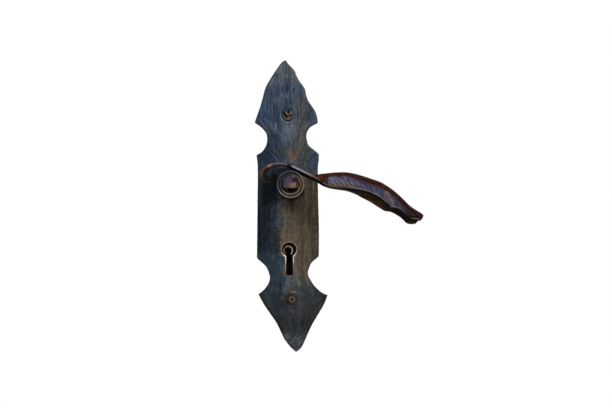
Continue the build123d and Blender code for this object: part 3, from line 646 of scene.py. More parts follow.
    # places seen from the keyhole's edge and from the two screws
    slotAway = most(abs(x - plate["slotMiddle"]) - plate["slotHalf"], plate["slotBottom"] - z)
    slotAway = slotAway + rise(z, plate["keyCentre"][1], plate["keyCentre"][1] + 1) * 50
    away = least(distance(x, z, plate["keyCentre"]) - plate["keyRadius"], slotAway) + fine * 1.2
    sides = 1 - rise(z, -70, -76) * 0.85 - rise(x, -5, -7) * rise(z, -66, -62) * 0.6
    # pale rim round the keyhole: worn bright metal, partly a painted highlight on its edges
    bright = rise(away, 0.9, 0.4) * rise(y, -2.1, -2.5) * (0.3 + rise(abs(z + 64), 6, 2) * 0.7)
    upX, upZ = x - plate["upperScrew"][0], z - plate["upperScrew"][1]
    lowX, lowZ = x - plate["lowerScrew"][0], z - plate["lowerScrew"][1]
    upAway, lowAway = distance(upX, upZ) + fine * 0.8, distance(lowX, lowZ) + fine * 1.2
    lowSide = rise(upX * 0.6 + upZ, 1.0, -3.0)
    colour = layered(
        scaled(colour, shade),
        # worn bright rim of the keyhole, partly painted highlight on its edges, with rust beside its slot
        (rise(away, 3.4, 0.9) * rise(mottle, 0.4, 0.6) * rise(z, -80.5, -77) * 0.6, "#685036"),
        (band(x, -6.9, -5.3, 0.7) * band(z, -80, -69, 2) * rise(speck, 0.4, 0.6) * 0.65, "#684a2e"),
        (spot(x, z, (-2, -83), 2.2, 2) * 0.25, "#606468"),
        (bright * sides, "#d6c8c0"),
        # shadowed and bright arcs of the dimple round the upper screw
        (band(upAway, 4.8, 6.8, 0.5) * rise(upX, -1, -4) * 0.6, "#222424"),
        (band(upAway, 4.6, 5.6, 0.3) * lowSide * 0.75, "#141618"),
        (band(upAway, 6.0, 6.8, 0.4) * lowSide * 0.5, "#686e70"),
        # chisel line over the lower screw, the stains round it, and a painted shadow crescent to the lower
        # left of its head, partly rust
        (band(lowX, -2.6, 4.2, 0.5) * band(lowZ, 6.6, 7.3, 0.35) * rise(speck, 0.3, 0.5) * 0.75, "#763a2c"),
        (band(lowX, -3.4, 2.6, 0.5) * band(lowZ, 4.4, 6.0, 0.5) * 0.8, "#302c28"),
        (band(lowX, -0.4, 4.6, 0.5) * band(lowZ, 5.2, 6.2, 0.4) * 0.6, "#6c6e64"),
        (rise(lowAway, 6.2, 4.9) * rise(lowX + lowZ * 0.8, 0, -3) * 0.8, "#2c2018"),
        (spot(lowX + fine * 2, lowZ * 0.8, (-7.2, 0.8), 1.5, 1.4) * rise(mottle, 0.4, 0.56) * 0.6, "#625c4a"),
        # the plate's edge and back
        (rise(edge + fine * 1.4, 1.4, 0.2) * 0.7, tint(rise(z, -90, -100), "#26292c", "#201b15")),
        (rise(y, -0.5, -0.1), tint(rise(mottle, 0.4, 0.6), "#2e2c2c", "#48423c")))
    roughness = 0.44 + broad * 0.14 + area * 0.08 + fine * 0.25
    metallic = 0.5 - area * 0.2 - drip * 0.3
    return closeFinish(material, colour, roughness, metallic, speck * 0.55 + lines * 0.45, 0.35)


seat(makePlate(), plateFinish(), "lock_body", "backplate")


# Screws that hold the plate

screws = {
    "shank": 2.2,
    "core": 1.75,
    "thread": 0.42,
    "pitch": 1.5,
    "threadStart": 0.4,
    "threadEnd": 13.0,
    "tip": 17.0,
    "corners": 72,
    "threadSteps": 68,
    "tipSteps": 20,
    # radius of the head, depth of its seat and of its top, and where its worn part starts
    "upperHead": (4.6, -2.4, -3.95),
    "upperWorn": -3.3,
    "lowerHead": (4.5, -3.0, -4.7),
    "lowerWorn": -3.6,
    # how the domes are stepped, as shares of the head's radius
    "dome": [0.95] + [0.9 - 0.06 * i for i in range(15)],
    # worn recesses: from where to where, radius and depth
    "upperPits": [((0.35, 1.8), (0.35, 3.2), 1.3, 1.3), ((-3.2, 2.2), (-3.0, 0.5), 1.0, 0.8),
                  ((-3.0, 0.5), (-1.0, -1.5), 1.25, 0.95), ((1.3, -0.6), (3.4, 0.4), 0.95, 0.7),
                  ((0.6, -1.3), (0.6, -1.6), 0.9, 0.45)],
    "lowerPits": [((-0.3, -1.1), (1.6, 0.1), 0.8, 1.0), ((0.2, 0.3), (1.2, -1.3), 0.8, 1.0)],
}


def segmentAway(x, z, start, end):
    place, start, end = Vector((x, z)), Vector(start), Vector(end)
    share = min(1, max(0, (place - start).dot(end - start) / (end - start).length_squared))
    return (place - start.lerp(end, share)).length


def deepest(x, z, pits):
    return max(depth * (1 - soft(segmentAway(x, z, start, end), radius * 0.35, radius))
               for start, end, radius, depth in pits)


def upperHeadRelief(x, z, depth):
    # worn cross recess with a ridge between its arms
    if depth > screws["upperWorn"]:
        return 0
    ridge = min(segmentAway(x, z, (-1.9, 2.4), (-0.2, 0.5)), segmentAway(x, z, (-0.2, 0.5), (3.3, 1.7)))
    return deepest(x, z, screws["upperPits"]) - 0.3 * hill(ridge, 0.5) + 0.14 * wobble(x / 0.9, z / 0.9, 2.2)


def lowerHeadRelief(x, z, depth):
    if depth > screws["lowerWorn"]:
        return 0
    ring = math.hypot(x - 0.7, z + 0.6)
    collar = 0.25 * hill(ring - 3.3, 0.5) - 0.22 * hill(ring - 2.0, 0.7)
    return deepest(x, z, screws["lowerPits"]) + collar + 0.14 * wobble(x / 0.9, z / 0.9, 6.1)


def makeScrew(name, place, head, relief):
    core, start, end, tip = [screws[key] for key in ("core", "threadStart", "threadEnd", "tip")]
    radius, seatDepth, top = head

    def thread(angle, depth, reach):
        if not start < depth < tip - 0.5:
            return 0.05 * wobble(angle, depth, 4.4)
        turn = (depth / screws["pitch"] - angle / math.tau) % 1
        return screws["thread"] * max(0, 1 - abs(turn - 0.5) * 4) * min(1, reach / core)

    crown = top - seatDepth
    taper, steps = screws["tipSteps"], screws["threadSteps"]
    profile = [(0.2, tip), (0.4, tip - 0.3)]
    profile += [(0.5 + (core - 0.5) * i / taper, tip - 0.6 - (tip - 0.6 - end) * i / taper)
                for i in range(taper)]
    profile += [(core, end + (start - end) * i / steps) for i in range(steps + 1)]
    profile += [(screws["shank"], start - 0.3), (screws["shank"], seatDepth), (radius - 0.1, seatDepth),
                (radius, seatDepth + crown * 0.3), (radius * 0.985, seatDepth + crown * 0.5)]
    profile += [(radius * share, seatDepth + crown * (0.55 + 0.45 * math.sqrt(1 - share ** 2)))
                for share in screws["dome"]]
    return turnedPiece(name, profile, place, screws["corners"], relief, thread)


def upperHeadTones(x, z, speck, reach):
    arm = lineAway(x, z, (-3.2, 2.0), (-2.8, 0.2), (-0.9, -1.6))
    ridge = lineAway(x, z, (-1.9, 2.4), (-0.2, 0.6), (3.2, 1.7))
    # rusty dark brown recess arms; the deep upper pit painted near black as shade, with painted highlights on
    # the ridge between the arms and on the head's lower-left edge
    return layered(
        tint(rise(speck, 0.35, 0.65), "#2e3030", "#54544e"),
        (rise(x - z, 2.5, -1.0) * rise(reach, 4.5, 3.5) * 0.7, "#423226"),
        (spot(x, z, (0.6, -1.5), 0.7, 0.5) * 0.9, "#683624"),
        (spot(x, z, (0.5, -2.9), 0.6, 0.6) * 0.7, "#7c5c62"),
        (rise(arm, 1.25, 0.65), "#221305"),
        (rise(lineAway(x, z, (1.3, -0.6), (3.3, 0.4)), 0.95, 0.5) * 0.95, "#2c1c0c"),
        (rise(ridge, 0.6, 0.25) * 0.65, "#807e76"),
        (rise(lineAway(x, z, (0.35, 1.9), (0.35, 3.1)), 1.15, 0.65), "#04080e"),
        (rise(reach, 4.0, 4.5) * rise(z + x * 0.6, -1, -4) * 0.8, "#787a72"))


def lowerHeadTones(x, z, speck, reach):
    ring = distance(x, z, (0.7, -0.6)) + (speck - 0.5) * 0.5
    return layered(
        tint(rise(speck, 0.35, 0.65), "#302116", "#483426"),
        (spot(x, z, (-2.4, -2.4), 1.6, 1.2), "#1e1209"),
        (spot(x, z, (-2.0, 2.6), 1.8, 0.9), "#262630"),
        (spot(x, z, (0.8, 3.6), 1.2, 0.9), "#28221e"),
        (rise(ring, 2.9, 2.5) * 0.9, "#544c46"),
        (rise(ring, 1.5, 0.9) * 0.9, "#261e18"))


def screwFinish(name, centre, headTones):
    material, place, x, y, z = openFinish(name)
    speck = grain(place, 0.9, detail=5.0, rough=0.65)
    x, z = x - centre[0] + (speck - 0.5) * 0.7, z - centre[1]
    reach = distance(x, z)
    shank = rise(y, -2.2, -1.4)
    colour = layered(
        headTones(x, z, speck, reach),
        # painted shade on the lower right of the head's rim
        (rise(reach, 4.45, 4.6) * rise(z - x, 2, -3) * 0.7, "#1a1410"),
        (shank, tint(speck, "#46423c", "#6e6a64")))
    return closeFinish(material, colour, 0.55 + (speck - 0.5) * 0.3, shank * 0.5 + 0.15, speck, 0.3)


for side, relief, headTones in (("upper", upperHeadRelief, upperHeadTones),
                                ("lower", lowerHeadRelief, lowerHeadTones)):
    centre = plate[side + "Screw"]
    seat(makeScrew(side + "Screw", centre, screws[side + "Head"], relief),
         screwFinish("rusty" + side.title() + "Screw", centre, headTones),
         "lock_body", side + "_screw")
print("screws: two turned heads with threaded shanks")


# Boss, its washer and the hammered cap

boss = {
    "radius": 11.9,
    "rim": 1.9,
    "front": -36.1,
    "back": -5.1,
    "floor": -34.3,
    "neck": 9.0,
    "neckEnd": 3.6,
    "groove": (2.05, 3.1),
    "grooveRadius": 8.2,
    "corners": 120,
    "washer": 9.3,
    "washerHole": 2.6,
    "washerFront": -35.6,
    "washerCorners": 96,
    # rounded fronts of the rim and the washer: how far in from the outside and back from the front
    "rimRound": [(0.1, 0.42), (0.35, 0.14), (0.75, 0), (1.15, 0.08), (1.55, 0.34)],
    "washerRound": [(0, 0.6), (0.15, 0.25), (0.45, 0.04), (0.9, -0.02), (1.3, 0.12), (1.6, 0.4), (1.9, 0.6)],
    "capFoot": 0.3,
    "capBevel": 0.5,
    "capEdge": 0.7,
    # named corners of the cap: x, z, height over the washer
    "capCorners": {
        "ridgeLeft": (-5.2, 1.1, 3.3), "ridgeMiddle": (-0.5, 1.4, 4.9), "ridgeRight": (4.8, 1.7, 5.0),
        "bandLeft": (-4.3, -2.6, 3.6), "bandMiddle": (-0.3, -3.0, 4.8), "bandRight": (4.8, -3.3, 4.6),
        "footLeft": (-3.9, -5.4, 0.5), "foot": (0.6, -6.6, 0.4), "footRight": (4.9, -5.5, 0.5),
        "sideLow": (7.6, -3.2, 0.5), "sideHigh": (8.3, 1.4, 0.5), "topRight": (6.4, 5.3, 0.6),
        "top": (2.4, 8.0, 0.5), "topLeft": (-2.4, 7.6, 0.6), "left": (-6.0, 4.8, 0.6),
        "leftLow": (-7.0, 0.4, 0.6), "cornerLow": (-6.2, -3.2, 0.5), "shoulder": (-2.2, 4.6, 3.0),
        "brow": (2.0, 4.9, 3.3),
    },
    "capFacets": [
        "ridgeLeft ridgeMiddle bandMiddle bandLeft", "ridgeMiddle ridgeRight bandRight bandMiddle",
        "bandLeft bandMiddle foot footLeft", "bandMiddle bandRight footRight foot",
        "bandRight sideLow footRight", "ridgeRight sideHigh sideLow bandRight",
        "ridgeRight brow topRight sideHigh", "ridgeMiddle brow ridgeRight", "ridgeMiddle shoulder brow",
        "brow shoulder topLeft top", "brow top topRight", "ridgeLeft shoulder ridgeMiddle",
        "ridgeLeft left topLeft shoulder", "ridgeLeft leftLow left", "ridgeLeft bandLeft cornerLow leftLow",
        "bandLeft footLeft cornerLow",
    ],
    "capRim": "footLeft foot footRight sideLow sideHigh topRight top topLeft left leftLow cornerLow",
}


def makeBoss():
    radius, front, back, floor, neck, neckEnd, cut = [boss[key] for key in (
        "radius", "front", "back", "floor", "neck", "neckEnd", "grooveRadius")]
    near, far = boss["groove"]
    inner = radius - boss["rim"]
    profile = [(8.4, neckEnd), (neck, neckEnd - 0.25), (neck, far), (cut, far), (cut, near), (neck, near),
               (neck, back), (radius - 0.4, back), (radius, back - 0.4)]
    profile += [(radius, back - 0.4 + (front + 1.2 - back) * i / 22) for i in range(1, 23)]
    profile += [(radius - inset, front + behind) for inset, behind in boss["rimRound"]]
    profile += [(inner, front + 0.8), (inner, floor), (9.2, floor), (4.0, floor)]

    def worn(angle, depth, reach):
        if depth > back:
            return 0
        x, z = math.cos(angle), math.sin(angle)
        return 0.16 * wobble(x * 2.4, z * 2.4, depth / 5) + 0.07 * wobble(x * 9, z * 9, depth / 1.5)

    def rimDents(x, z, depth):
        return 0.22 * wobble(x / 2.5, z / 2.5, 5.5) if depth < front + 0.8 else 0

    return turnedPiece("wornBoss", profile, (0, 0), boss["corners"], rimDents, worn)


def makeWasher():
    hole, outer, front, floor = [boss[key] for key in ("washerHole", "washer", "washerFront", "floor")]
    profile = [(hole, floor + 0.02), (outer, floor + 0.02)]
    profile += [(outer - inset, front + behind) for inset, behind in boss["washerRound"]]
    profile.append((hole, front + 0.6))
    return turnedPiece("capRing", profile, (0, 0), boss["washerCorners"],
                       lambda x, z, depth: 0.15 * wobble(x / 2, z / 2, 3.3))


def makeCap():
    # facets first, then softened edges and hammer marks
    base = boss["washerFront"] + 0.6
    work = bmesh.new()
    corners = {name: work.verts.new((x, base - height, z))
               for name, (x, z, height) in boss["capCorners"].items()}
    for names in boss["capFacets"]:
        work.faces.new([corners[name] for name in names.split()])
    rim = [corners[name] for name in boss["capRim"].split()]
    feet = [work.verts.new((v.co.x, base + boss["capFoot"], v.co.z)) for v in rim]
    for a, b, c, d in zip(rim, rim[1:] + rim[:1], feet[1:] + feet[:1], feet):
        work.faces.new((a, b, c, d))
    work.faces.new(feet)
    bmesh.ops.bevel(work, geom=list(work.edges), offset=boss["capBevel"], segments=3, profile=0.5,
                    affect="EDGES")
    bmesh.ops.triangulate(work, faces=work.faces)
    for _ in range(2):
        long = [edge for edge in work.edges if edge.calc_length() > boss["capEdge"]]
        bmesh.ops.subdivide_edges(work, edges=long, cuts=1)
        bmesh.ops.triangulate(work, faces=work.faces)
    work.normal_update()
    for vertex in work.verts:
        x, y, z = vertex.co
        vertex.co += vertex.normal * (0.22 * wobble(x / 1.7, y / 1.7, z / 1.7) + 0.1 * wobble(x, y, z / 0.8))
    work.verts.index_update()
    points = [tuple(v.co) for v in work.verts]
    # sorted, because the bevel doesn't always give them in the same order
    faces = sorted(tuple(v.index for v in f.verts) for f in work.faces)
    work.free()
    return buildPiece("hammeredCap", points, faces, 28)


def steelFinish():
    # old steel: cool and darker on the left, tan and lighter below and to the right, partly painted shade; a
    # painted highlight along the crest of each ring
    material, place, x, y, z = openFinish("wornSteelFinish")
    speck = grain(place, 0.7, detail=5.0, rough=0.62)
    turned = grain(place, 0.3, (1, 4, 1))
    side = rise(x - z * 0.9 + (turned - 0.5) * 10, -7, 5)
    reach = distance(x, z)
    low = rise(z - x * 0.2, -2.0, -5.5)
    # painted highlight along the crest of each ring, stronger at the bottom
    crest = least(abs(reach - 11.15), abs(reach - 8.6) + (1 - low) * 0.5)
    crest = rise(crest + (grain(place, 0.35, detail=2.0) - 0.5) * 0.7, 0.42, 0.12) * rise(y, -34.2, -35.2)
    colour = layered(tint(side, "#2d3238", "#5c5244"),
                     (crest * (0.3 + low * 0.6), tint(side, "#6c7172", "#746c5e")))
    behindRim = rise(y, -36.6, -35.9)
    colour = layered(
        scaled(colour, (0.35 + speck * 1.2) * (0.55 + turned * 0.9)),
        # painted shade: in the gap between rim and washer, darkest at the bottom, round the cap on the
        # washer, and on the rim's rounded outer edge
        (band(reach, 9.3, 10.1, 0.2) * behindRim * (0.55 + low * 0.3), tint(low, "#24282e", "#0d0c0c")),
        (rise(reach, 8.0, 7.7) * rise(y, -33, -34) * 0.85, "#141212"),
        (rise(reach, 11.45, 11.75) * behindRim * 0.9, tint(turned, "#1a1c1f", "#38322b")),
        (rise(reach, 11.3, 11.6) * rise(y, -35.2, -33.5),
         scaled(tint(turned, "#424446", "#60584c"), 0.5 + speck)))
    return closeFinish(material, colour, 0.38 + speck * 0.25, 0.45, speck, 0.2)


def capFinish():
    material, place, x, y, z = openFinish("hammeredCapFinish")
    speck = grain(place, 0.6, detail=4.0, rough=0.6)
    small = grain(place, 1.6)
    x, z = x + (speck - 0.5) * 2.0, z + (small - 0.5) * 1.8
    tilted = z - x * 0.12
    # each facet painted with the tone the light gives it: the front band lighter, the bottom facets black as
    # painted shade, a painted highlight streak on the right facet and painted glints near the top
    colour = layered(
        tint(rise(x, -5.5, -1.0), "#383c4b", "#463848"),
        (rise(x, 0.0, 2.2) * rise(z, 1.0, 2.8) * 0.9, "#2c1a26"),
        (spot(x, z, (4.3, 2.6), 1.6, 1.4) * 0.9, "#1a0a1a"),
        (rise(tilted, 1.7, 0.3), "#504144"),
        (rise(tilted, 1.5, 0.3) * rise(x, -2.4, 2.0), "#6a594f"),
        (rise(x, 4.4, 5.2) * rise(z, 3.0, 1.4), "#321a14"),
        (band(x, 5.9, 6.5, 0.3) * band(z, -3.0, 1.0, 0.9) * 0.85, "#786056"),
        (rise(z, -2.6, -3.5), "#090705"),
        (spot(x, z, (-3.3, -4.5), 0.9, 0.9) * 0.8, "#563214"),
        (spot(x, z, (3.0, 7.2), 0.9, 0.8) * 0.7, "#848284"))
    return closeFinish(material, scaled(colour, 0.5 + small), 0.36 + speck * 0.2, 0.35, small, 0.35)


wornSteel = steelFinish()
seat(makeBoss(), wornSteel, "lever", "lever_boss")
seat(makeWasher(), wornSteel, "lever", "cap_washer")
seat(makeCap(), capFinish(), "lever", "faceted_cap")
print("boss: rim, ring and cap with", len(boss["capFacets"]), "facets")


# Bar with its scroll

bar = {
    "near": -35.1,
    "far": -22.1,
    "halfThick": 1.55,
    "halfThickStraight": 2.2,
    "tipThick": 0.95,
    "step": 0.42,
    "grooveGap": 2.0,
    "grooveDepth": 0.25,
    "backRound": 0.6,
    # how far back its rounding reaches on the inner side of the scroll, and how much more on the straight
    "innerRound": (0.6, 1.8),
    # from the leaf up over the boss and round the scroll
    "path": [(28.0, 1.4), (23.9, 3.4), (12.6, 8.9), (1.4, 14.35), (-5.8, 16.9), (-12.4, 16.9), (-17.5, 15.6),
             (-21.9, 12.6), (-23.6, 8.6), (-22.4, 4.4), (-19.2, 2.5), (-16.0, 3.2), (-14.2, 5.4),
             (-13.9, 8.0), (-14.9, 10.4)],
}


def barSection(half, back):
    # half the bar's thickness, and how far its rounding reaches back on the inner side
    near, far, corner = bar["near"], bar["far"], bar["backRound"]
    return [(half - corner, far), (half, far - corner), (half, far - 4), (half, near + 5), (half, near + 1.4),
            (half * 0.86, near + 0.5), (half * 0.6, near + 0.12), (half * 0.3, near), (-half * 0.05, near),
            (-half * 0.35, near + 0.12 * back), (-half * 0.65, near + 0.5 * back),
            (-half, near + 0.9 * back + 0.4), (-half, near + 5), (-half, far - 4), (-half, far - corner),
            (corner - half, far)]


def makeBar():
    path = smoothRun(bar["path"], bar["step"])
    along = np.cumsum([0] + [(b - a).length for a, b in zip(path, path[1:])])
    total = along[-1]
    back, more = bar["innerRound"]
    points, runs, sides = [], [], []
    for before, place, after, run in zip(path[:1] + path, path, path[1:] + path[-1:], along):
        ahead = (after - before).normalized()
        straight = soft(place.x, -5, 4)
        half = bar["halfThick"] + (bar["halfThickStraight"] - bar["halfThick"]) * straight
        half += (bar["tipThick"] - half) * soft(run, total - 9, total)
        half *= (1 - 0.5 * soft(run, total - 1.0, total)) * (1 + 0.06 * wobble(run / 6, 0.4, 8.1))
        for side, depth in barSection(half, back + more * straight):
            phase = ((run - side * 1.5) / bar["grooveGap"]) % 1
            cut = hill(phase - 0.5, 0.13) * straight * soft(depth, bar["near"] + 2.2, bar["near"] + 0.4)
            y = depth + bar["grooveDepth"] * cut + 0.1 * wobble(run / 1.8, side / 1.2, depth / 3)
            shift = side + 0.1 * wobble(run / 2.4, side, depth / 2.6)
            points.append((place.x + ahead.y * shift, y, place.y - ahead.x * shift))
            runs.append(run)
            sides.append(side / half)
    faces = tubeFaces(len(path), len(points) // len(path))
    return buildPiece("scrollBar", points, faces, 50, run=runs, side=sides)


def barFinish():
    material, place, x, y, z = openFinish("scrollBarFinish")
    run, side = carried(place, "run", "side")
    speck = grain(place, 0.8, detail=5.0, rough=0.62)
    small = grain(place, 2.2)
    stripe = run / bar["grooveGap"] - side * 1.65
    hatch = stripe.maths("SINE", stripe * math.tau) * 0.5 + (small - 0.5) * 0.8
    curl = rise(x, -17.2, -15.6) * rise(z, 12.0, 11.0) * rise(x, -6, -10)
    # colours along the bar, from the leaf round to the curl
    colour = layered(
        tint(rise(x, 6, 16), "#707078", "#685444"),
        (rise(x, 17, 22) * 0.6, "#603c28"),
        (rise(hatch, 0.1, -0.4) * 0.75, "#2c262a"),
        # pale diagonal stripes near the leaf: painted highlight on the striations
        (rise(hatch, 0.1, 0.45) * rise(x, 21, 15) * 0.8, "#b0aeb2"),
        (rise(x, 2.2, 0.4), "#181c30"),
        (rise(x, -1.6, -4.4), "#5e4e58"),
        (spot(x, z, (-8.0, 16.6), 1.2, 1.6) * 0.8, "#705c4c"),
        # painted highlight on the top of the scroll
        (spot(x, z, (-17.6, 15.6), 1.6, 1.8), "#a08470"),
        (rise(x, -18.6, -20.5), tint(rise(side, 0.2, 0.6), "#502c18", "#604a20")),
        (rise(x, -19, -21) * rise(z, 8.5, 5.5), "#3e2215"),
        # the scroll's bottom and its curled end, painted dark as shade
        (rise(z, 5.2, 3.4) * rise(x, -4, -8), "#2c1c20"),
        (curl, tint(rise(z, 8.4, 9.8), "#161214", "#2c1f19")))
    # the light catches only the ridge on the outer side
    straight = rise(x, -4, 0)
    scrollLight = 0.3 + band(side, 0.28, 0.82, 0.22) * 0.95
    barLight = rise(side, 0.08, 0.26) * rise(side, 0.98, 0.78)
    light = scrollLight + (barLight - scrollLight) * straight
    colour = layered(
        scaled(colour, light * (0.5 + speck)),
        # painted shade on the bar's sides, back and underside and on the straight bar's unlit lower part; the
        # outer side along the top stays lighter, painted as lit
        (most(rise(y, -34.6, -33.4), straight * (1 - barLight)),
         tint(rise(speck, 0.35, 0.65), "#0a0808", "#1c1615")),
        (rise(side, 0.92, 0.98) * rise(y, -34.4, -33.4) * rise(z, 10, 13), tint(speck, "#322a26", "#5c4e44")))
    return closeFinish(material, colour, 0.4 + speck * 0.2, 0.25, small, 0.25)


seat(makeBar(), barFinish(), "lever", "lever_arm")
print("bar: swept with its scroll")


# Leaf-shaped grip

leaf = {
    "barMiddle": -28.6,
    "stepAlong": 0.45,
    # where the rounded end starts, and steps round it, over the rib and under it
    "turn": 109.9,
    "turnSteps": 14,
    "stepsAbove": 34,
    "stepsBelow": 18,
    "marginWidth": 3.4,
    "beadHeight": 0.8,
    "dish": 1.3,
    "rimWidth": 1.9,
    "rimHeight": 0.4,
    "veinGap": 4.1,
    "veinDepth": 0.45,
    "hatchGap": 2.3,
    "hatchDepth": 0.45,
    "creaseDepth": 0.12,
    # pinched fold across the blade, and the slot over the rib at the tip
    "pinch": 83.0,
    "foldDepth": 0.8,
    "slotHeight": 1.5,
    "slotDepth": 1.3,
    # heights of its three lines at each x
    "top": [(20.4, 6.9), (22.0, 8.0), (23.8, 8.7), (30.2, 9.5), (38.4, 10.2), (45.3, 10.4), (52.6, 9.5),
            (60.3, 7.5), (68.0, 5.0), (77.3, 1.6), (81.2, -0.7), (84.6, -2.9), (88.0, -5.4), (92.2, -9.0),
            (96.3, -12.9), (100.4, -17.0), (103.6, -19.6), (107.7, -22.2), (111.0, -24.2), (112.4, -25.2),
            (113.2, -26.4)],
    "rib": [(20.4, 6.0), (25.0, 3.7), (27.4, 1.2), (31.4, -1.2), (36.3, -2.1), (42.9, -2.5), (48.5, -2.8),
            (56.7, -4.1), (60.3, -4.7), (65.9, -6.1), (71.8, -8.8), (76.0, -11.0), (78.9, -13.4),
            (83.2, -17.0), (84.9, -19.2), (88.2, -19.4), (91.8, -20.6), (94.3, -22.3), (97.2, -24.8),
            (100.4, -27.7), (102.4, -28.9), (104.4, -29.4), (107.3, -29.6), (108.9, -29.9), (110.4, -29.8),
            (111.9, -28.8), (113.2, -26.8)],
    "bottom": [(20.4, 5.2), (22.5, 2.8), (25.3, 0.0), (29.1, -2.0), (34.3, -3.7), (40.4, -4.7), (46.1, -5.5),
               (51.0, -6.8), (55.8, -8.7), (60.3, -11.2), (67.0, -14.6), (76.0, -20.2), (81.2, -23.0),
               (84.1, -23.3), (87.3, -24.4), (90.2, -26.0), (93.1, -27.8), (95.5, -29.9), (97.5, -31.9),
               (99.4, -33.4), (103.0, -34.0), (106.1, -33.8), (107.7, -32.6), (108.9, -31.3), (110.6, -31.0),
               (112.2, -29.6), (113.2, -27.2)],
    # how far these lines stand out from the middle of the bar, and how thick the blade is
    "out": [(20.4, 4.6, 4.8, 4.2), (25.8, 5.5, 6.4, 5.5), (32.8, 6.5, 8.8, 6.0), (41.8, 7.5, 12.0, 7.5),
            (59.8, 10.5, 15.5, 8.5), (76.8, 11.5, 16.5, 8.0), (85.8, 11.0, 16.0, 8.5),
            (92.8, 10.5, 15.0, 8.5), (100.8, 9.5, 13.5, 8.0), (106.8, 8.5, 11.5, 7.5),
            (113.2, 7.4, 8.0, 7.2)],
    "thick": [(20.4, 7.0), (25.8, 12.0), (32.8, 7.5), (41.8, 4.6), (59.8, 3.8), (92.8, 3.6), (106.8, 3.2),
              (111.4, 3.0), (113.2, 1.4)],
}


def lowerRelief(x, z, t):
    # hatching under the rib: how far the front stands out, and how deep its grooves are
    slant = x - z * 0.9 + 0.8 * wobble(x / 6, z / 6, 4.0)
    hatch = hill((slant / leaf["hatchGap"]) % 1 - 0.5, 0.26)
    groove = hatch * leaf["hatchDepth"] * soft(x, 34, 44) * soft(t, 0.05, 0.3)
    return -groove, groove


def upperRelief(x, z, t, margin, away):
    # rolled border, rim along the rib, veins and the pinched fold; away is the height over the rib
    tipShare = soft(x, 100, 110)
    width = leaf["marginWidth"] * soft(x, 18, 34) * (1 - 0.25 * soft(x, 90, 100)) + 2.2 * tipShare
    bead = leaf["beadHeight"] * math.sin(math.pi * min(1, margin / (width + 0.2))) ** 0.7
    crease = leaf["creaseDepth"] * hill(margin - width - 0.3, 0.6) * soft(x, 30, 38)
    rim = leaf["rimHeight"] * (1 - soft(away, leaf["rimWidth"] * 0.6, leaf["rimWidth"] * 1.3))
    dish = leaf["dish"] * math.sin(math.pi * t) * soft(x, 28, 42) * (1 - 0.6 * tipShare)
    # veins lean back from the rib and get steeper towards the tip
    vein = (x + away * (1.05 - 0.45 * soft(x, 50, 72)) + 1.1 * wobble(x / 9, z / 9, 1.2)) / leaf["veinGap"]
    reach = soft(away, 0.6, 1.6) * (1 - soft(away, 4.4, 6.8)) * soft(x, 33, 37) * (1 - soft(x, 76, 80))
    reach *= leaf["veinDepth"] * (0.7 + 1.1 * wobble(x / 3, 0.3, 7.7))
    cut = hill(vein % 1 - 0.5, 0.12) * reach
    ridge = 0.5 * hill((vein - 0.26) % 1 - 0.5, 0.12) * reach
    steep = x + away * 0.3 - leaf["pinch"]
    fold = hill(steep, 2.8) * (1 - soft(away, 3.0, 8.5))
    cut += leaf["foldDepth"] * fold * (0.5 + 0.5 * math.cos(math.tau * steep / 1.6))
    slot = hill(away - leaf["slotHeight"], 0.55) * soft(x, 99, 103) * (1 - soft(x, 109, 110.5))
    cut += leaf["slotDepth"] * slot
    return bead - crease + rim - dish - fold - cut + ridge, cut - ridge


def leafRing(x, upper, lower):
    # one ring of points round the blade, each with y, z, margin, height over the rib, groove and face
    top, rib, bottom, thick = [steadyCurve(leaf[key], x) for key in ("top", "rib", "bottom", "thick")]
    topOut, ribOut, bottomOut = [steadyCurve([(row[0], row[i]) for row in leaf["out"]], x) for i in (1, 2, 3)]
    lean = 1 / math.hypot(1, steadyCurve(leaf["top"], x + 0.5) - steadyCurve(leaf["top"], x - 0.5))
    edgeRadius = min(thick, max(0.05, top - bottom)) / 2
    front = [(t, top + (rib - top) * t, topOut + (ribOut - topOut) * t, True) for t in upper]
    front += [(t, rib + (bottom - rib) * t, ribOut + (bottomOut - ribOut) * t ** 0.62, False) for t in lower]
    near, far = [], []
    for t, z, out, high in front:
        share = min(1, min(top - z, z - bottom) / edgeRadius)
        half = thick / 2 * math.sqrt(max(0, 1 - (1 - share) ** 2))
        margin = (top - z) * lean
        relief, groove = upperRelief(x, z, t, margin, z - rib) if high else lowerRelief(x, z, t)
        relief += 0.16 * wobble(x / 4.5, z / 4.5, 2.7) + 0.07 * wobble(x / 1.5, z / 1.5, 6.2)
        middle = leaf["barMiddle"] - out + thick / 2
        near.append((middle - half - relief * min(1, share + 0.15), z, margin, z - rib, groove, 1.0))
        far.append((middle + half + 0.15 * wobble(x / 5, z / 5, 9.9), z, margin, z - rib, 0.0, 0.0))
    return near + far[-2:0:-2]


def makeLeaf():
    start, turn, end = leaf["top"][0][0], leaf["turn"], leaf["top"][-1][0]
    count = round((turn - start) / leaf["stepAlong"])
    places = [start + (turn - start) * i / count for i in range(count)]
    around, above, below = leaf["turnSteps"], leaf["stepsAbove"], leaf["stepsBelow"]
    places += [turn + (end - turn) * math.sin(math.pi / 2 * i / around) for i in range(around + 1)]
    upper = [(1 - math.cos(math.pi * i / above)) / 2 for i in range(above)]
    lower = [(i / below) ** 1.15 for i in range(below - 1)] + [0.965, 0.99, 1.0]
    rings = [(x, leafRing(x, upper, lower)) for x in places]
    points = [(x, y, z) for x, ring in rings for y, z, *_ in ring]
    margin, ribAway, groove, face = zip(*[values for _, ring in rings for _, _, *values in ring])
    faces = tubeFaces(len(places), len(points) // len(places))
    print("leaf:", len(faces), "faces")
    return buildPiece("leafGrip", points, faces, 60, margin=margin, ribAway=ribAway, groove=groove, face=face)


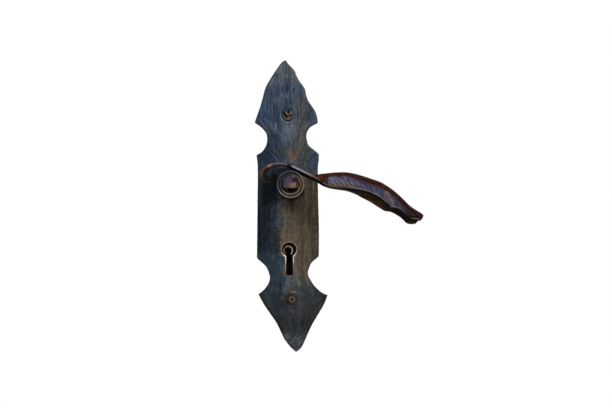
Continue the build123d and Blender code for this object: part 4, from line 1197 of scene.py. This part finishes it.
def leafFinish():
    material, place, x, y, z = openFinish("forgedLeafFinish")
    margin, away, groove, face = carried(place, "margin", "ribAway", "groove", "face")
    speck = grain(place, 0.5, detail=5.0, rough=0.62)
    small = grain(place, 1.8)
    fine = speck - 0.5
    # brown border
    brown = scaled(tint(rise(speck, 0.35, 0.68), "#200e09", "#3e2217"), 1 - band(x, 88, 101, 3) * 0.24)
    brown = tint(rise(x, 100, 106) * 0.85, brown, tint(rise(small, 0.4, 0.6), "#140907", "#2e1611"))
    brown = scaled(brown, 0.5 + rise(margin, 0.2, 1.6) * 0.55)
    # blued face, darker towards its tip and towards the brown border
    blued = layered(
        tint(rise(x, 46, 66), "#504d5e", "#3c3946"),
        (rise(x, 78, 90), "#2e2834"),
        (rise(x, 92, 100), "#1c161c"),
        (rise(grain(place, 0.11), 0.54, 0.68) * rise(x, 92, 84) * 0.5, "#462d34"))
    streak = grain(joined(x + away * 0.9, y, away * 0.12), 0.55)
    lip = tint(rise(speck, 0.4, 0.62), "#443932", "#5e5045")
    width = 3.3 + fine * 3.0 + rise(x, 101, 108) * 2.4 + rise(x, 34, 26) * 5 + band(x, 64, 80, 7) * 1.3
    strip = band(margin, 3.2, 5.2, 0.8) * rise(x, 79, 85) * rise(x, 106, 103)
    folded = band(x, 79.5, 84.0, 1.0)
    colour = layered(
        scaled(blued, 0.45 + rise(streak, 0.32, 0.68) * 1.1),
        (band(x, 60, 78, 5) * band(margin, 4, 9, 1.5) * 0.75, "#282c46"),
        (rise(margin, 7.5, 4) * band(x, 50, 84, 6) * 0.75, "#30212c"),
        (band(x, 83.5, 88.0, 1.5) * rise(margin, 5.0, 8.5) * 0.65, "#5a5760"),
        (rise(x, 90, 93) * rise(x, 99, 96) * rise(margin, 4, 6) * 0.5, "#323a44"),
        (rise(x, 99.5, 101.5) * 0.6, "#1c1113"),
        # light lip along the rib, partly painted highlight, and its thin painted highlight line further on
        (rise(away + fine * 1.6, 3.6, 1.6) * rise(x, 27, 32) * rise(x, 60, 48),
         tint(rise(x, 46, 34) * 0.6, lip, "#544a38")),
        (rise(away + fine * 0.6, 1.2, 0.5) * band(x, 50, 91, 5) * 0.6, "#6c656c"),
        (rise(margin - width, 1.2, -1.1), brown),
        (strip * 0.75, tint(rise(x, 91, 87), "#26161b", "#2a2436")),
        (rise(x + fine * 4, 33.5, 31.0) * rise(away, 0.8, 2.2), brown),
        (spot(x, z, (24.5, 5.6), 1.2, 1.8) * rise(speck, 0.35, 0.6) * 0.8, "#60381e"),
        # fold, veins and the slot at the tip: painted shade in the vein grooves and the slot, painted
        # highlight on the vein ridges and along the rib at the tip
        (folded * rise(margin, 3.5, 5.5) * 0.75, "#5c4a50"),
        (rise(groove, 0.05, 0.26) * (0.9 - folded * 0.62), "#18131a"),
        (rise(groove, -0.03, -0.16) * 0.6, "#8e8a9c"),
        (rise(groove, 0.4, 0.9) * rise(x, 98, 101), "#0a0b28"),
        (rise(x, 101.5, 103.5) * rise(x, 110.2, 108.6) * band(away, 0.1, 0.7, 0.3) * 0.75, "#68624c"))
    # dark lower side, painted as shade: black under the rib, then a hatch of tan lines
    hatch = rise(groove + fine * 0.5, 0.2, 0.03) * rise(x, 38, 46) * rise(x, 84, 78)
    shade = layered(
        scaled(tint(rise(speck, 0.4, 0.62), "#100904", "#241a10"), 1 - band(x, 84, 99, 3) * 0.35),
        (rise(away + fine * 2, -5, -7) * band(x, 66, 79, 4) * 0.6, "#443428"),
        (hatch * rise(small, 0.3, 0.55) * 0.75, "#503c26"),
        (rise(away + fine * 2, -3.0, -1.4) * rise(x, 40, 50), "#080503"),
        (rise(x, 98, 101) * rise(z, -31, -33) * 0.7, "#322a18"))
    colour = layered(
        colour,
        (rise(away, 0.1, -0.2), shade),
        (1 - face, tint(rise(speck, 0.35, 0.65), "#2a1e19", "#4c3a30")))
    roughness = 0.34 + speck * 0.25 + rise(margin, 3.6, 3.0) * 0.08
    return closeFinish(material, scaled(colour, 0.65 + small * 0.7), roughness, 0.2, small, 0.25)


seat(makeLeaf(), leafFinish(), "lever", "leaf_grip")


# Finishes of the pieces that keep their CAD shape

def plainFinish(name, dark, light, metallic, roughness, scale, stretch=(1, 1, 1)):
    material, place, *_ = openFinish(name)
    speck = grain(place, scale, stretch, 5.0, 0.6)
    cloud = grain(place, 0.06) - 0.5
    colour = tint(rise(speck + cloud * 0.5, 0.32, 0.68), dark, light)
    return closeFinish(material, colour, roughness + (speck - 0.5) * 0.25, metallic, speck, 0.12)


def japanFinish():
    # black enamel with worn specks, and rust round the key's hole
    material, place, x, y, z = openFinish("blackJapan")
    speck = grain(place, 0.3, (1, 1, 1), 5.0, 0.6)
    cloud = grain(place, 0.06)
    pits = place.node("ShaderNodeTexVoronoi", {}, {"Vector": place, "Scale": 0.35})
    around = spot(x, z, plate["keyCentre"], 6.5, 2) * rise(y, 17, 15) * (0.6 - rise(x + z, -62, -56) * 0.3)
    colour = layered(
        tint(rise(speck + (cloud - 0.5) * 0.5, 0.32, 0.68), "#0c0c0d", "#1b1a19"),
        (rise(pits, 0.24, 0.1) * rise(cloud, 0.45, 0.6) * 0.8, "#42362c"),
        (around, "#78422e"))
    return closeFinish(material, colour, 0.42 + (speck - 0.5) * 0.25, 0.0, speck, 0.12)


def ringFinish():
    material, place, x, y, z = openFinish("keyRing")
    speck = grain(place, 0.8, detail=4.0)
    keyX, keyZ = plate["keyCentre"]
    right = rise(x - keyX + (z - keyZ) * 0.8 + (speck - 0.5) * 2, -3.4, -0.4)
    lit = tint(right, "#cea08a", tint(rise(speck, 0.3, 0.6), "#cec2bc", "#faf0e8"))
    colour = tint(rise(y, 13.5, 13.1), tint(rise(speck, 0.35, 0.65), "#22110c", "#3e2820"), lit)
    return closeFinish(material, colour, 0.45, 0.3, speck, 0.12)


lockFinishes = [
    (plainFinish("brightSteel", "#78787a", "#a4a4a2", 0.9, 0.34, 0.6, (1, 5, 1)),
     ["spindle", "spindle_pin", "case_pillars", "forend_rivets", "follower_stop", "bolt_guide_pin",
      "detent_rivet", "rear_key_bush", "ward_ring"]),
    (plainFinish("springSteel", "#2c3446", "#545c6c", 0.85, 0.3, 0.8),
     ["retaining_ring", "follower_spring", "latch_spring", "detent_spring"]),
    (japanFinish(), ["lock_case", "case_cover"]),
    (plainFinish("zincScrew", "#84847e", "#b0aea0", 0.85, 0.36, 0.9), ["cover_screws", "forend_screws"]),
    (plainFinish("platedForend", "#8c8678", "#b6b09e", 0.85, 0.34, 0.4, (4, 4, 0.15)), ["forend"]),
    (plainFinish("castFollower", "#52504e", "#7a7670", 0.7, 0.5, 1.0), ["follower"]),
    (plainFinish("castBrass", "#866634", "#bc9654", 0.9, 0.34, 0.5, (0.4, 3, 3)),
     ["latch_bolt", "dead_bolt"]),
    (ringFinish(), ["front_key_bush"]),
    (wornSteel, ["plate_bush"]),
]
for finish, names in lockFinishes:
    for name in names:
        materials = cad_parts[name].data.materials
        for i in range(len(materials)):
            materials[i] = finish
print("lock:", sum(len(names) for _, names in lockFinishes), "CAD pieces dressed")


# Floor, light and camera

studio = {
    "focal": 1368.0,
    "imageWidth": 612.0,
    "sensor": 36.0,
    "cameraPlace": (0.0133, -1.2, -0.01675),
    "floorHeight": -0.3,
    "floorRadius": 0.5,
    "floorRings": (0.25, 0.5, 0.75, 1.0),
    "floorCorners": 64,
    "ambient": 0.42,
    # where the lamps point; then each one's place, size, watts and colour
    "target": (0, 0, -0.02),
    "lamps": {
        "keyLight": ((0.85, -0.85, 0.7), 0.4, 17.0, (1.0, 0.98, 0.95)),
        "fillLight": ((-0.9, -0.9, 0.3), 0.9, 4.0, (0.92, 0.96, 1.0)),
    },
}


def makeFloor():
    radius, height = studio["floorRadius"] / mm, studio["floorHeight"] / mm
    rings, count = studio["floorRings"], studio["floorCorners"]
    points = [(0, 0, height)]
    for share in rings:
        points += [(x, y, height) for x, y in ringPoints((0, 0), radius * share, count)]
    faces = [(0, 1 + i, 1 + (i + 1) % count) for i in range(count)]
    faces += [tuple(1 + i for i in face) for face in ringFaces(len(rings), count)]
    floor = buildPiece("floor", points, faces)
    material, place, *_ = openFinish("paleFloor")
    tone = tint(grain(place, 0.02), "#e2e0dc", "#ecebe8")
    floor.data.materials.append(closeFinish(material, tone, 0.6, 0.0, grain(place, 0.5), 0.05))


def areaLight(name, place, size, watts, colour):
    lamp = bpy.data.lights.new(name, "AREA")
    lamp.shape = "DISK"
    lamp.size = size
    lamp.energy = watts
    lamp.color = colour
    holder = bpy.data.objects.new(name, lamp)
    holder.location = place
    towards = Vector(studio["target"]) - Vector(place)
    holder.rotation_euler = towards.to_track_quat("-Z", "Y").to_euler()
    scene.collection.objects.link(holder)


def makeWorld():
    # plain white to the eye, dimmer as a light
    world = bpy.data.worlds.new("whiteRoom")
    scene.world = world
    start = emptyTree(world)
    straight, glossy, through = [start.node("ShaderNodeLightPath", {}, {}, "Is %s Ray" % kind)
                                 for kind in ("Camera", "Glossy", "Transmission")]
    seen = most(most(straight, glossy), through)
    room, white = [seen.node("ShaderNodeBackground", {}, {"Color": "#ffffff", "Strength": strength})
                   for strength in (studio["ambient"], 1.0)]
    both = seen.node("ShaderNodeMixShader", {}, {0: seen, 1: room, 2: white})
    both.node("ShaderNodeOutputWorld", {}, {"Surface": both})


def makeCamera():
    lens = bpy.data.cameras.new("camera")
    lens.sensor_width = studio["sensor"]
    lens.lens = studio["focal"] / studio["imageWidth"] * studio["sensor"]
    camera = bpy.data.objects.new("camera", lens)
    camera.location = studio["cameraPlace"]
    camera.rotation_euler = (math.radians(90), 0, 0)
    scene.collection.objects.link(camera)
    scene.camera = camera
    scene.view_settings.view_transform = "Standard"


makeFloor()
for name, lamp in studio["lamps"].items():
    areaLight(name, *lamp)
makeWorld()
makeCamera()
print("studio: floor, two lamps and camera")
